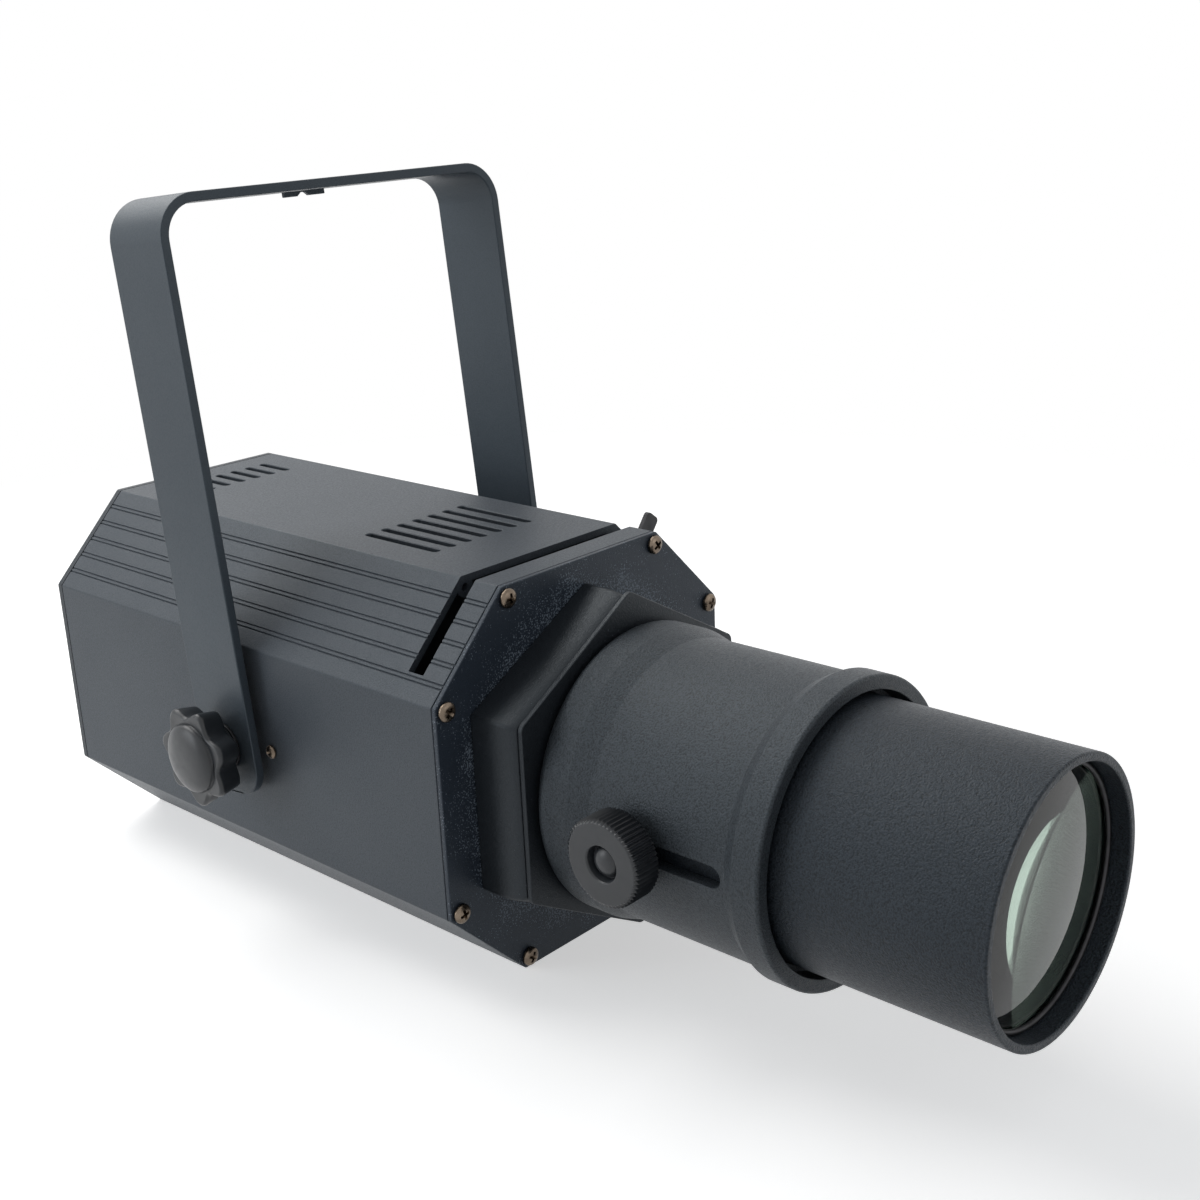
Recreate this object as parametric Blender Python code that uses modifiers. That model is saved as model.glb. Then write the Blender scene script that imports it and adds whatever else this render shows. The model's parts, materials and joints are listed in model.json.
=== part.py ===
# Profile spotlight for stage lighting, as an assembly of separate parts. Metres, +Z up.
# The beam leaves along -Y. The origin is on the floor, under the pivot that the yoke turns about.
import math

import bmesh
import bpy
from mathutils import Matrix, Vector

for old in list(bpy.data.objects):
    bpy.data.objects.remove(old, do_unlink=True)

# Fits
GAP = 0.0003                      # between two pieces that touch
RUNNING = 0.00008                 # radial clearance of a shaft that turns in a hole
SCREW_CLEARANCE = 0.0004          # radial clearance of a screw in its hole
CROWN_WIDTH = 0.75                # of a screw head's flat crown, as a share of the head
CROWN_DROP = 0.85                 # where the crown ends, as a share of the head's height

# Sides of round pieces, by size
LARGE_ROUND = 28
MIDDLE_ROUND = 20
SMALL_ROUND = 16
TINY_ROUND = 8

# Housing extrusion: an octagon across its flats, open at both ends
HOUSING_WIDTH = 0.1684
HOUSING_HEIGHT = 0.1668
HOUSING_FLANK = 0.0385            # how far each sloping flank reaches in, across and down
HOUSING_WALL = 0.003
HOUSING_LENGTH = 0.263
PIVOT_BEHIND_FRONT = 0.127
GROOVE_COUNT = 5
GROOVE_WIDTH = 0.0018
GROOVE_DEPTH = 0.0006
PORT_INSET = 0.0055               # from the outer corner to the centre of a screw port
PORT_RADIUS = 0.0042
PORT_BORE_RADIUS = 0.0018

# Vent slots in the top, in two groups
VENT_COUNT = 7
VENT_PITCH = 0.009
VENT_WIDTH = 0.0036
FRONT_VENT_START = 0.0537         # distances behind the front edge of the extrusion
FRONT_VENT_LENGTH = 0.0458
REAR_VENT_LENGTH = 0.0222
REAR_VENT_TO_BACK = 0.0153        # from the vents to the rear edge of the extrusion

# Slot for the iris lever, across the top and down both upper flanks
LEVER_SLOT_START = 0.0122
LEVER_SLOT_WIDTH = 0.0085
LEVER_SLOT_REACH = 0.79           # share of the flank that the slot runs down
LEVER_SLOT_DEPTH = 0.014

# End plates
FRONT_PLATE_THICKNESS = 0.0025
REAR_PANEL_THICKNESS = 0.003
PLATE_CORNER = 0.0015

# Pan head screws that hold both end plates, and the two in the sides
SCREW_HEAD_RADIUS = 0.004
SCREW_HEAD_HEIGHT = 0.0025
SCREW_SHANK_RADIUS = 0.0016
END_SCREW_LENGTH = 0.011
SIDE_SCREW_HEAD_RADIUS = 0.003
SIDE_SCREW_HEAD_HEIGHT = 0.002
SIDE_SCREW_SHANK_RADIUS = 0.0014
SIDE_SCREW_LENGTH = 0.0065
SIDE_SCREW_BEHIND_FRONT = 0.1048

# Six-sided hood and the plate on its front
HOOD_HALF_WIDTH = 0.067
HOOD_SHOULDER = 0.0374            # height of the side corners above the axis
HOOD_PEAK = 0.073                 # height of the top corner above the axis
HOOD_DEPTH = 0.0222
HOOD_WALL = 0.0028
HOOD_DRAW_IN = 0.0034             # how far the walls curve in before the plate
HOOD_CURVE_LENGTH = 0.013
HOOD_CORNER = 0.0022
FLANGE_HALF_WIDTH = 0.0641
FLANGE_SHOULDER = 0.0370
FLANGE_PEAK = 0.0740
FLANGE_THICKNESS = 0.0022
FLANGE_CORNER = 0.004

# Barrel
BARREL_WALL = 0.0053
BARREL_LENGTH = 0.1069            # from the flange plate to the front of the collar
RING_HEIGHT = 0.0027              # of the ring and the collar above the barrel
RING_LENGTH = 0.0163
RING_EDGE = 0.0045                # rounding of the ring's rear edge
RING_TAPER = 0.010                # length of the cone from the ring down to the barrel
COLLAR_LENGTH = 0.0116
COLLAR_CHAMFER = 0.0048
COLLAR_EDGE = 0.0012
COLLAR_PLAY = 0.0022              # the collar's mouth is this much wider than the bore, all round
COLLAR_BORE_DEPTH = 0.009
SPIGOT_WALL = 0.0018
SPIGOT_LENGTH = 0.007
EDGE = 0.0006                     # small broken edges of turned pieces

# Lens tube, which slides in the barrel
TUBE_RADIUS = 0.0522
TUBE_WALL = 0.0035
TUBE_REACH = 0.0831               # how far it stands out of the collar at rest
TUBE_TAIL = 0.0139                # from the focus screw to the tube's rear end
TUBE_CLEARANCE = 0.0002
LENS_SEAT_HEIGHT = 0.0028
LENS_SEAT_LENGTH = 0.003
FRONT_LENS_RECESS = 0.0095        # from the tube's rim to the front lens's edge
REAR_LENS_RECESS = 0.056          # to the rear lens's front edge
LENS_EDGE = 0.0035
LENS_CROWN = 0.0048               # on each side
LENS_PLAY = 0.0004
RETAINING_WIRE = 0.0011           # radius of the round wire
WIRE_SIDES = 4

# Focus screw and its slot
FOCUS_ANGLE = math.radians(0.5)   # below the horizontal, on the left of the barrel
FOCUS_BEHIND_COLLAR = 0.0598
FOCUS_TRAVEL = 0.037
FOCUS_SLOT_WIDTH = 0.0087
FOCUS_SHANK_RADIUS = 0.004
FOCUS_KNOB_RADIUS = 0.0175
FOCUS_KNOB_HEIGHT = 0.0131
FOCUS_HUB_RADIUS = 0.006
FOCUS_HUB_HEIGHT = 0.0029
FOCUS_KNOB_LIFT = 0.0005          # between the knob and the collar that it slides over
FOCUS_SHANK_INTO_TUBE = 0.003
FOCUS_RECESS_RADIUS = 0.0065
FOCUS_RECESS_DEPTH = 0.006
KNURL_COUNT = 24
KNURL_DEPTH = 0.0009

# Yoke
YOKE_TILT = math.radians(5.6)     # backwards
YOKE_WIDTH = 0.038
YOKE_THICKNESS = 0.004
YOKE_RISE = 0.2302                # from the pivot to the top face
YOKE_BEND = 0.018                 # outer bend radius
YOKE_SIDE_GAP = 0.004             # between the housing and an arm
YOKE_TAIL = 0.0215                # below the pivot
YOKE_TAIL_CORNER = 0.0125
CLAMP_HOLE_RADIUS = 0.0053
LIP_SPAN = 0.022                  # notched lip turned down behind the clamp hole
LIP_DROP = 0.0022
LIP_THICKNESS = 0.002
LIP_NOTCH = 0.004
ARM_HOLE_CLEARANCE = 0.0003

# Pivot: a flanged bush in each side, a washer and a star knob on a stud
STUD_RADIUS = 0.004
BUSH_SLEEVE_RADIUS = 0.0065
BUSH_FLANGE_RADIUS = 0.0105
BUSH_DEPTH = 0.012
WASHER_RADIUS = 0.0105
WASHER_THICKNESS = 0.0014
KNOB_RADIUS = 0.0222
KNOB_LOBES = 7
KNOB_LOBE_SIDES = 5
KNOB_LOBE_DEPTH = 0.0034
KNOB_THICKNESS = 0.0115
KNOB_HUB_RADIUS = 0.0105
KNOB_HUB_HEIGHT = 0.0042
KNOB_CAP_RADIUS = 0.0162
KNOB_CAP_RISE = 0.0036
KNOB_EDGE = 0.0012
KNOB_BACK_SCALE = 0.92            # of the lobed outline at the back, which is narrower
KNOB_RIM_SCALE = 0.98             # of its front, inside the broken edge

# Iris: flat leaves, one above the other, each with a pivot in the cassette and a pin in the ring
LEAF_COUNT = 8
LEAF_INNER_RADIUS = 0.0285
LEAF_OUTER_RADIUS = 0.042
LEAF_PIVOT_RADIUS = 0.0455               # radius of the circle of pivots
LEAF_SPAN = math.radians(135)     # length of the blade, from its pivot
LEAF_ROOT = math.radians(4)       # the blade starts this far before its pivot
LEAF_TAIL_LENGTH = 0.013                 # from the pivot to the driving pin
LEAF_TAIL_ANGLE = math.radians(-106)     # of the tail when the iris is fully open
LEAF_EAR_RADIUS = 0.0026
LEAF_TAIL_END_RADIUS = 0.0019
LEAF_WAIST = 0.4                  # where the tail narrows, as a share of its length
LEAF_THICKNESS = 0.0003
LEAF_STEP = 0.00055               # from one leaf to the next, along the axis
LEAF_SWING = math.radians(28)     # of each leaf, from fully open to the smallest opening
LEAF_PIN_RADIUS = 0.0008
PIN_REACH = 0.0012                # of a pin into the ring or the cassette
SLOT_CLEARANCE = 0.00022
SLOT_STEPS = 10
LEVER_SWEEP = math.radians(100)   # of the ring, from fully open to the smallest opening
LEVER_OPEN_ANGLE = math.radians(50)      # to the right of straight up, fully open
LEVER_ANGLE = math.radians(38)    # to the right of straight up, at rest
LEVER_TIP_RADIUS = 0.1058
LEVER_WIDTH = 0.008
LEVER_CORNER = 0.0018
RING_INNER_RADIUS = 0.038
RING_OUTER_RADIUS = 0.052
RING_THICKNESS = 0.002
RIM_CLEARANCE = 0.0003
RIM_WALL = 0.0018
CASSETTE_LIP = 0.0006
CASSETTE_FLOOR = 0.0015
CASSETTE_OPENING_RADIUS = 0.030
COVER_THICKNESS = 0.0014

# Optics and electronics inside
GATE_THICKNESS = 0.002
GATE_RADIUS = 0.027
FRAME_BEHIND_FRONT = 0.112
FRAME_HEIGHT = 0.072
FRAME_THICKNESS = 0.002
FRAME_FLANGE = 0.016
CONDENSER_RADIUS = 0.034
CONDENSER_EDGE = 0.003
CONDENSER_CROWN = 0.011
CONDENSER_OPENING_RADIUS = 0.031
CLIP_LIP = 0.0015
CLIP_WALL = 0.0015
SINK_TO_BACK = 0.0927             # from its front to the rear edge of the extrusion
SINK_HEIGHT = 0.076
SINK_BASE = 0.006
SINK_FIN_LENGTH = 0.042
SINK_FIN_THICKNESS = 0.002
SINK_FIN_COUNT = 12
SINK_FIN_PITCH = 0.009
BOARD_SIZE = 0.056
BOARD_THICKNESS = 0.002
EMITTER_RADIUS = 0.011
EMITTER_HEIGHT = 0.0012
FAN_SIZE = 0.092
FAN_DEPTH = 0.025
FAN_RISE = 0.018                  # above the optical axis
FAN_BORE_RADIUS = 0.0435
FAN_CORNER = 0.004
FAN_HUB_RADIUS = 0.018
FAN_STRUT_WIDTH = 0.005
FAN_STRUT_THICKNESS = 0.0025
ROTOR_HUB_RADIUS = 0.017
ROTOR_LENGTH = 0.018
ROTOR_TIP_RADIUS = 0.0418
BLADE_COUNT = 5
BLADE_CHORD = 0.019
BLADE_THICKNESS = 0.0014
# Share of the chord and pitch at a blade's root, middle and tip
BLADE_STATIONS = ((0.75, math.radians(42)), (1, math.radians(34)), (1.1, math.radians(26)))
SPINDLE_RADIUS = 0.002
SPINDLE_LENGTH = 0.010
DRIVER_SIZE = (0.060, 0.032, 0.110)
DRIVER_BEHIND_FRONT = 0.040
DRIVER_EDGE = 0.0015

# Rear panel fittings; x is to the right as seen from behind
OUTLET_PITCH = 0.009
OUTLET_WIDTH = 0.004
OUTLET_RADIUS = 0.043
FITTING_DROP = 0.055              # below the optical axis
FITTING_WALL = 0.002              # from a fitting's body to the edge of its flange
FITTING_CORNER = 0.002
INLET_X = 0.034
INLET_BODY = (0.028, 0.020)
INLET_CAVITY = (0.0245, 0.0165)
INLET_CAVITY_CORNER = 0.005
INLET_DEPTH = 0.020
INLET_FLOOR = 0.003
INLET_FLANGE = 0.0024
INLET_PIN = (0.002, 0.004)
INLET_PIN_RECESS = 0.002          # of the pins' tips, from the rear panel's face
INLET_PIN_SPACING = 0.007
INLET_EARTH_RISE = 0.0032
SWITCH_X = -0.002
SWITCH_BODY = (0.0124, 0.0214)
SWITCH_DEPTH = 0.012
SWITCH_FLANGE = 0.0016
ROCKER_SIZE = (0.0085, 0.0184)
ROCKER_GAP = 0.0006
ROCKER_RISE = 0.0052              # of its ends above the pivot
ROCKER_DIP = 0.0012               # of its middle
ROCKER_DROP = 0.003
ROCKER_FOOT = 0.012               # length of its flat underside
ROCKER_PIVOT_DEPTH = 0.0015
ROCKER_PIN_RADIUS = 0.001
ROCKER_PIN_REACH = 0.0016
ROCKER_TURN = math.radians(8)     # either way from level
DIMMER_X = -0.034
DIMMER_BODY_RADIUS = 0.008
DIMMER_BODY_DEPTH = 0.009
DIMMER_BUSH_RADIUS = 0.0042
DIMMER_BUSH_HEIGHT = 0.0026
DIMMER_NUT_RADIUS = 0.006
DIMMER_NUT_HEIGHT = 0.002
DIMMER_SHAFT_RADIUS = 0.003
DIMMER_SHAFT_LENGTH = 0.008
DIMMER_KNOB_RADIUS = 0.009
DIMMER_KNOB_TOP_RADIUS = 0.0076
DIMMER_KNOB_HEIGHT = 0.012
DIMMER_KNOB_WALL = 0.0015
DIMMER_KNOB_HOLLOW = 0.0035
DIMMER_POINTER = 0.0012

# Places worked out from the sizes above
HALF = HOUSING_WIDTH / 2
TOP = HOUSING_HEIGHT / 2                                # from the optical axis to the flat top
AXIS_Z = TOP
FRONT_Y = -PIVOT_BEHIND_FRONT
FACE_HALF = HALF - HOUSING_FLANK                       # half the width of the flat top
INNER_HALF = HALF - HOUSING_WALL
HOOD_BACK = FRONT_PLATE_THICKNESS + GAP
FLANGE_BACK = HOOD_BACK + HOOD_DEPTH + GAP
FLANGE_FRONT = FLANGE_BACK + FLANGE_THICKNESS
BARREL_BACK = FLANGE_FRONT + GAP
BARREL_FRONT = FLANGE_FRONT + BARREL_LENGTH
BARREL_BORE = TUBE_RADIUS + TUBE_CLEARANCE
BARREL_RADIUS = BARREL_BORE + BARREL_WALL
COLLAR_RADIUS = BARREL_RADIUS + RING_HEIGHT
COLLAR_BORE = BARREL_BORE + COLLAR_PLAY
SPIGOT_RADIUS = BARREL_BORE + SPIGOT_WALL
TUBE_FRONT = BARREL_FRONT + TUBE_REACH
TUBE_BORE = TUBE_RADIUS - TUBE_WALL
LENS_RADIUS = TUBE_BORE - LENS_PLAY
FRONT_LENS_EDGE = TUBE_FRONT - FRONT_LENS_RECESS
REAR_LENS_EDGE = TUBE_FRONT - REAR_LENS_RECESS
FOCUS_FORWARD = BARREL_FRONT - FOCUS_BEHIND_COLLAR
TUBE_BACK = FOCUS_FORWARD - TUBE_TAIL
FOCUS_KNOB_BASE = COLLAR_RADIUS + FOCUS_KNOB_LIFT
FOCUS_SHANK_END = TUBE_RADIUS - FOCUS_SHANK_INTO_TUBE
ARM_INNER = HALF + YOKE_SIDE_GAP
ARM_OUTER = ARM_INNER + YOKE_THICKNESS
KNOB_BASE = ARM_OUTER + GAP + WASHER_THICKNESS + GAP
STUD_LENGTH = KNOB_BASE - HALF + BUSH_DEPTH - EDGE
LEVER_PLANE = -(LEVER_SLOT_START + LEVER_SLOT_WIDTH / 2)
RING_BACK = LEVER_PLANE - RING_THICKNESS / 2
TOP_LEAF = RING_BACK - GAP - LEAF_THICKNESS             # rear face of the foremost leaf
CASSETTE_FRONT = TOP_LEAF - (LEAF_COUNT - 1) * LEAF_STEP - GAP
CASSETTE_BACK = CASSETTE_FRONT - CASSETTE_FLOOR
COVER_BACK = RING_BACK + RING_THICKNESS + GAP
GATE_FRONT = CASSETTE_BACK - GAP
LEAF_RATIO = LEAF_SWING / LEVER_SWEEP                   # a leaf's turn for each turn of the ring
REST_TURN = LEVER_OPEN_ANGLE - LEVER_ANGLE              # of the ring, from fully open
REAR_FACE = -(HOUSING_LENGTH + GAP + REAR_PANEL_THICKNESS)
BAY_WIDTH = 2 * (INNER_HALF - GAP)
SINK_BEHIND_FRONT = HOUSING_LENGTH - SINK_TO_BACK
REAR_VENT_START = HOUSING_LENGTH - REAR_VENT_TO_BACK - REAR_VENT_LENGTH

parts = bpy.data.collections.new("profile_spotlight")
cutters = bpy.data.collections.new("cutters")
bpy.context.scene.collection.children.link(parts)
bpy.context.scene.collection.children.link(cutters)


def material(name, colour, roughness, metallic):
    made = bpy.data.materials.new(name)
    made.use_nodes = True
    shader = made.node_tree.nodes["Principled BSDF"]
    shader.inputs["Base Color"].default_value = (*colour, 1)
    shader.inputs["Roughness"].default_value = roughness
    shader.inputs["Metallic"].default_value = metallic
    return made


POWDER_COAT = material("powder_coat", (0.085, 0.093, 0.10), 0.55, 0.0)
DARK_COAT = material("dark_coat", (0.018, 0.022, 0.030), 0.5, 0.0)
BARREL_COAT = material("barrel_coat", (0.055, 0.060, 0.063), 0.6, 0.0)
BLACK_PLASTIC = material("black_plastic", (0.03, 0.033, 0.036), 0.45, 0.0)
SCREW_METAL = material("screw_metal", (0.45, 0.38, 0.30), 0.35, 1.0)
BRIGHT_METAL = material("bright_metal", (0.65, 0.65, 0.66), 0.35, 1.0)
BLACK_METAL = material("black_metal", (0.02, 0.02, 0.022), 0.5, 0.6)
LENS_GLASS = material("lens_glass", (0.55, 0.66, 0.62), 0.05, 0.0)
BOARD_WHITE = material("board_white", (0.75, 0.75, 0.72), 0.5, 0.0)


def empty(name, location, rotation=(0, 0, 0), parent=None):
    made = bpy.data.objects.new(name, None)
    made.location = location
    made.rotation_euler = rotation
    made.parent = parent
    parts.objects.link(made)
    return made


# On the optical axis local Z runs forward, local Y up, and zero is the front edge of the extrusion
optical_axis = empty("optical_axis", (0, FRONT_Y, AXIS_Z), (math.pi / 2, 0, 0))
yoke_pivot = empty("yoke_pivot", (0, 0, AXIS_Z), (-YOKE_TILT, 0, 0))
# The focus screw's local Z points out of the barrel, and local Y along the beam
focus_axis = empty("focus_axis", (0, 0, FOCUS_FORWARD), (math.pi / 2, 0, FOCUS_ANGLE - math.pi / 2),
                   optical_axis)
# The rear face's local Z points out of the back, and local X to the right as seen from behind
rear_face = empty("rear_face", (0, 0, REAR_FACE), (0, math.pi, 0), optical_axis)


def place(obj, paint=None, parent=None, location=(0, 0, 0), rotation=(0, 0, 0)):
    obj.location = location
    obj.rotation_euler = rotation
    obj.parent = parent
    if paint:
        obj.data.materials.clear()
        obj.data.materials.append(paint)
    return obj


def add(name, mesh, smooth_angle=None):
    made = bpy.data.objects.new(name, mesh)
    parts.objects.link(made)
    if smooth_angle:
        mesh.shade_smooth()
        mesh.set_sharp_from_angle(angle=smooth_angle)
    return made


def to_cutter(obj):
    parts.objects.unlink(obj)
    cutters.objects.link(obj)
    obj.hide_render = True
    obj.display_type = "WIRE"
    return obj


def boolean(obj, other, operation):
    step = obj.modifiers.new(operation.lower(), "BOOLEAN")
    step.operation = operation
    step.solver = "EXACT"
    step.object = other


def cut(obj, *tools):
    for tool in tools:
        boolean(obj, tool, "DIFFERENCE")


def join(obj, *tools):
    for tool in tools:
        boolean(obj, tool, "UNION")


def lathe(name, profile, steps, closed=False, smooth_angle=math.radians(35)):
    # Turns a profile of (radius, height) points about local Z, from the top down its outer side
    mesh = bpy.data.meshes.new(name)
    points = [(radius, 0, height) for radius, height in profile]
    edges = [(i, i + 1) for i in range(len(points) - 1)]
    if closed:
        edges.append((len(points) - 1, 0))
    mesh.from_pydata(points, edges, [])
    made = add(name, mesh)
    screw = made.modifiers.new("turn", "SCREW")
    screw.axis = "Z"
    screw.steps = steps
    screw.render_steps = steps
    screw.use_merge_vertices = True
    screw.merge_threshold = 0.00001
    screw.use_smooth_shade = smooth_angle is not None
    return made


def tube_profile(inner, outer, low, high):
    return [(outer, high), (outer, low), (inner, low), (inner, high)]


def slab(name, loops, thickness, low=0.0):
    # A flat outline, with any holes as further loops, drawn on local XY and raised from low
    curve = bpy.data.curves.new(name, "CURVE")
    curve.dimensions = "2D"
    curve.fill_mode = "BOTH"
    curve.extrude = thickness / 2
    for loop in loops:
        spline = curve.splines.new("POLY")
        spline.points.add(len(loop) - 1)
        for point, (x, y) in zip(spline.points, loop):
            point.co = (x, y, 0, 1)
        spline.use_cyclic_u = True
    drawn = bpy.data.objects.new(name, curve)
    parts.objects.link(drawn)
    evaluated = drawn.evaluated_get(bpy.context.evaluated_depsgraph_get())
    mesh = bpy.data.meshes.new_from_object(evaluated)
    mesh.transform(Matrix.Translation((0, 0, low + thickness / 2)))
    bpy.data.objects.remove(drawn, do_unlink=True)
    clean(mesh)
    return add(name, mesh)


def clean(mesh):
    work = bmesh.new()
    work.from_mesh(mesh)
    bmesh.ops.remove_doubles(work, verts=work.verts, dist=0.000002)
    bmesh.ops.recalc_face_normals(work, faces=work.faces)
    work.to_mesh(mesh)
    work.free()


def cylinder(name, radius, low, high, segments=SMALL_ROUND):
    mesh = bpy.data.meshes.new(name)
    work = bmesh.new()
    bmesh.ops.create_cone(work, cap_ends=True, segments=segments, radius1=radius, radius2=radius,
                          depth=high - low, matrix=Matrix.Translation((0, 0, (low + high) / 2)))
    work.to_mesh(mesh)
    work.free()
    return add(name, mesh)


def block(name, low, high):
    mesh = bpy.data.meshes.new(name)
    size = Vector(high) - Vector(low)
    middle = (Vector(high) + Vector(low)) / 2
    work = bmesh.new()
    bmesh.ops.create_cube(work, size=1, matrix=Matrix.Translation(middle) @ Matrix.Diagonal((*size, 1)))
    work.to_mesh(mesh)
    work.free()
    return add(name, mesh)


def loft(name, sections, smooth_angle=math.radians(35)):
    # Skins closed sections of equal point counts, low to high, and caps both ends
    mesh = bpy.data.meshes.new(name)
    count = len(sections[0])
    points = [point for section in sections for point in section]
    faces = [tuple(reversed(range(count)))]
    for row in range(len(sections) - 1):
        for i in range(count):
            start = row * count
            after = (i + 1) % count
            faces.append((start + i, start + after, start + count + after, start + count + i))
    faces.append(tuple(range((len(sections) - 1) * count, len(sections) * count)))
    mesh.from_pydata(points, [], faces)
    return add(name, mesh, smooth_angle)


def bevel(obj, width, segments=1, angle=math.radians(40)):
    step = obj.modifiers.new("bevel", "BEVEL")
    step.width = width
    step.segments = segments
    step.limit_method = "ANGLE"
    step.angle_limit = angle


def polar(radius, angle, centre=(0, 0)):
    return (centre[0] + radius * math.cos(angle), centre[1] + radius * math.sin(angle))


def arc(centre, radius, start, end, segments):
    return [polar(radius, start + (end - start) * i / segments, centre) for i in range(segments + 1)]


def circle(radius, segments, centre=(0, 0), phase=0.0):
    return [polar(radius, phase + 2 * math.pi * i / segments, centre) for i in range(segments)]


def stadium(start, end, width, segments=2):
    # A slot from one end centre to the other, with round ends
    way = math.atan2(end[1] - start[1], end[0] - start[0])
    return (arc(end, width / 2, way - math.pi / 2, way + math.pi / 2, segments)
            + arc(start, width / 2, way + math.pi / 2, way + 3 * math.pi / 2, segments))


def rounded(corners, radius, segments=2):
    # Rounds every corner of a convex outline given counter-clockwise
    outline = []
    count = len(corners)
    for i in range(count):
        here = Vector(corners[i])
        back = (Vector(corners[i - 1]) - here).normalized()
        ahead = (Vector(corners[(i + 1) % count]) - here).normalized()
        half = back.angle(ahead) / 2
        centre = here + (back + ahead).normalized() * radius / math.sin(half)
        first = here + back * radius / math.tan(half) - centre
        sweep = math.pi - 2 * half
        start = math.atan2(first.y, first.x)
        outline += arc(centre, radius, start, start + sweep, segments)
    return outline


def octagon():
    side = TOP - HOUSING_FLANK
    return [(HALF, -side), (HALF, side), (FACE_HALF, TOP), (-FACE_HALF, TOP),
            (-HALF, side), (-HALF, -side), (-FACE_HALF, -TOP), (FACE_HALF, -TOP)]


def port_centres():
    # The screw ports sit inside the eight outer corners, on each corner's bisector
    centres = []
    for i, corner in enumerate(octagon()):
        outward = math.radians(-22.5 + 45 * i)
        centres.append(polar(-PORT_INSET, outward, corner))
    return centres


def grooved_octagon():
    # The two upper flanks carry shallow grooves at equal steps
    outline = []
    corners = octagon()
    for i, corner in enumerate(corners):
        outline.append(corner)
        start = Vector(corner)
        end = Vector(corners[(i + 1) % 8])
        flank = min(start.y, end.y) > 0 and abs(start.y - end.y) > HOUSING_FLANK / 2
        if not flank:
            continue
        along = (end - start).normalized()
        inward = Vector((-along.y, along.x))
        for groove in range(1, GROOVE_COUNT + 1):
            middle = start.lerp(end, groove / (GROOVE_COUNT + 1))
            lip = along * GROOVE_WIDTH / 2
            floor = along * (GROOVE_WIDTH / 2 - GROOVE_DEPTH / 2)
            deep = inward * GROOVE_DEPTH
            outline += [middle - lip, middle - floor + deep, middle + floor + deep, middle + lip]
    return [tuple(point) for point in outline]


def ported_bore(clearance=0.0):
    # The bore's outline, which bulges round each screw port, or what fits it with a clearance
    radius = PORT_RADIUS + clearance
    wall_depth = PORT_INSET * math.cos(math.radians(22.5)) - HOUSING_WALL - clearance
    opening = math.radians(22.5) + math.acos(wall_depth / radius)
    outline = []
    for i, centre in enumerate(port_centres()):
        outward = math.radians(-22.5 + 45 * i)
        outline += arc(centre, radius, outward - opening, outward + opening - 2 * math.pi, 4)
    return outline


# Housing

def vent_cutter():
    loops = []
    for start, length in ((FRONT_VENT_START, FRONT_VENT_LENGTH), (REAR_VENT_START, REAR_VENT_LENGTH)):
        for i in range(VENT_COUNT):
            x = (i - (VENT_COUNT - 1) / 2) * VENT_PITCH
            near = FRONT_Y + start + VENT_WIDTH / 2
            far = FRONT_Y + start + length - VENT_WIDTH / 2
            loops.append(stadium((x, near), (x, far), VENT_WIDTH))
    tool = slab("vent_cutter", loops, 3 * HOUSING_WALL)
    return to_cutter(place(tool, location=(0, 0, HOUSING_HEIGHT - 2 * HOUSING_WALL)))


def lever_slot_outline(deep, proud):
    # A band that follows the top and both upper flanks, seen from the front
    top = TOP + proud
    low = TOP - deep
    slope = Vector((1, -1)).normalized()
    out = Vector((1, 1)).normalized()
    end = Vector((FACE_HALF, TOP)) + slope * LEVER_SLOT_REACH * HOUSING_FLANK * math.sqrt(2)
    outer_turn = FACE_HALF + proud * math.tan(math.radians(22.5))
    inner_turn = FACE_HALF - deep * math.tan(math.radians(22.5))
    right = [end - out * deep, end + out * proud, (outer_turn, top)]
    right_inner = [(inner_turn, low)]
    left = [(-x, y) for x, y in reversed(right)]
    left_inner = [(-x, y) for x, y in right_inner]
    return [tuple(point) for point in right] + left + left_inner + right_inner


def lever_slot_cutter():
    tool = slab("lever_slot_cutter", [lever_slot_outline(LEVER_SLOT_DEPTH, HOUSING_WALL)],
                LEVER_SLOT_WIDTH, -LEVER_SLOT_START - LEVER_SLOT_WIDTH)
    return to_cutter(place(tool, parent=optical_axis))


def side_hole_cutter(name, radius, y):
    tool = cylinder(name, radius, -HALF - HOUSING_WALL, HALF + HOUSING_WALL)
    return to_cutter(place(tool, location=(0, y, AXIS_Z), rotation=(0, math.pi / 2, 0)))


def make_housing(side_screw_cutter):
    bores = [circle(PORT_BORE_RADIUS, TINY_ROUND, centre) for centre in port_centres()]
    body = slab("housing_extrusion", [grooved_octagon(), ported_bore()] + bores,
                HOUSING_LENGTH, -HOUSING_LENGTH)
    place(body, POWDER_COAT, optical_axis)
    cut(body, vent_cutter(), lever_slot_cutter(),
        side_hole_cutter("pivot_hole_cutter", BUSH_SLEEVE_RADIUS + GAP, 0), side_screw_cutter)
    return body


# Screws

def make_screw(name, head, height, shank, length):
    # A pan head above the seat, and a plain shank below it
    profile = [(0, height), (head * CROWN_WIDTH, height * CROWN_DROP), (head, 0), (shank, 0),
               (shank, -length), (0, -length)]
    return lathe(name, profile, TINY_ROUND, smooth_angle=None)


def make_end_screw(name):
    return make_screw(name, SCREW_HEAD_RADIUS, SCREW_HEAD_HEIGHT, SCREW_SHANK_RADIUS, END_SCREW_LENGTH)


def make_end_screws():
    for i, centre in enumerate(port_centres()):
        screw = make_end_screw(f"front_screw_{i + 1}")
        place(screw, SCREW_METAL, optical_axis, (*centre, FRONT_PLATE_THICKNESS + GAP))
    for i, centre in enumerate(rear_screw_centres()):
        screw = make_end_screw(f"rear_screw_{i + 1}")
        place(screw, SCREW_METAL, rear_face, (*centre, GAP))


def screw_hole(centre):
    return circle(SCREW_SHANK_RADIUS + SCREW_CLEARANCE, TINY_ROUND, centre)


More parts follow.
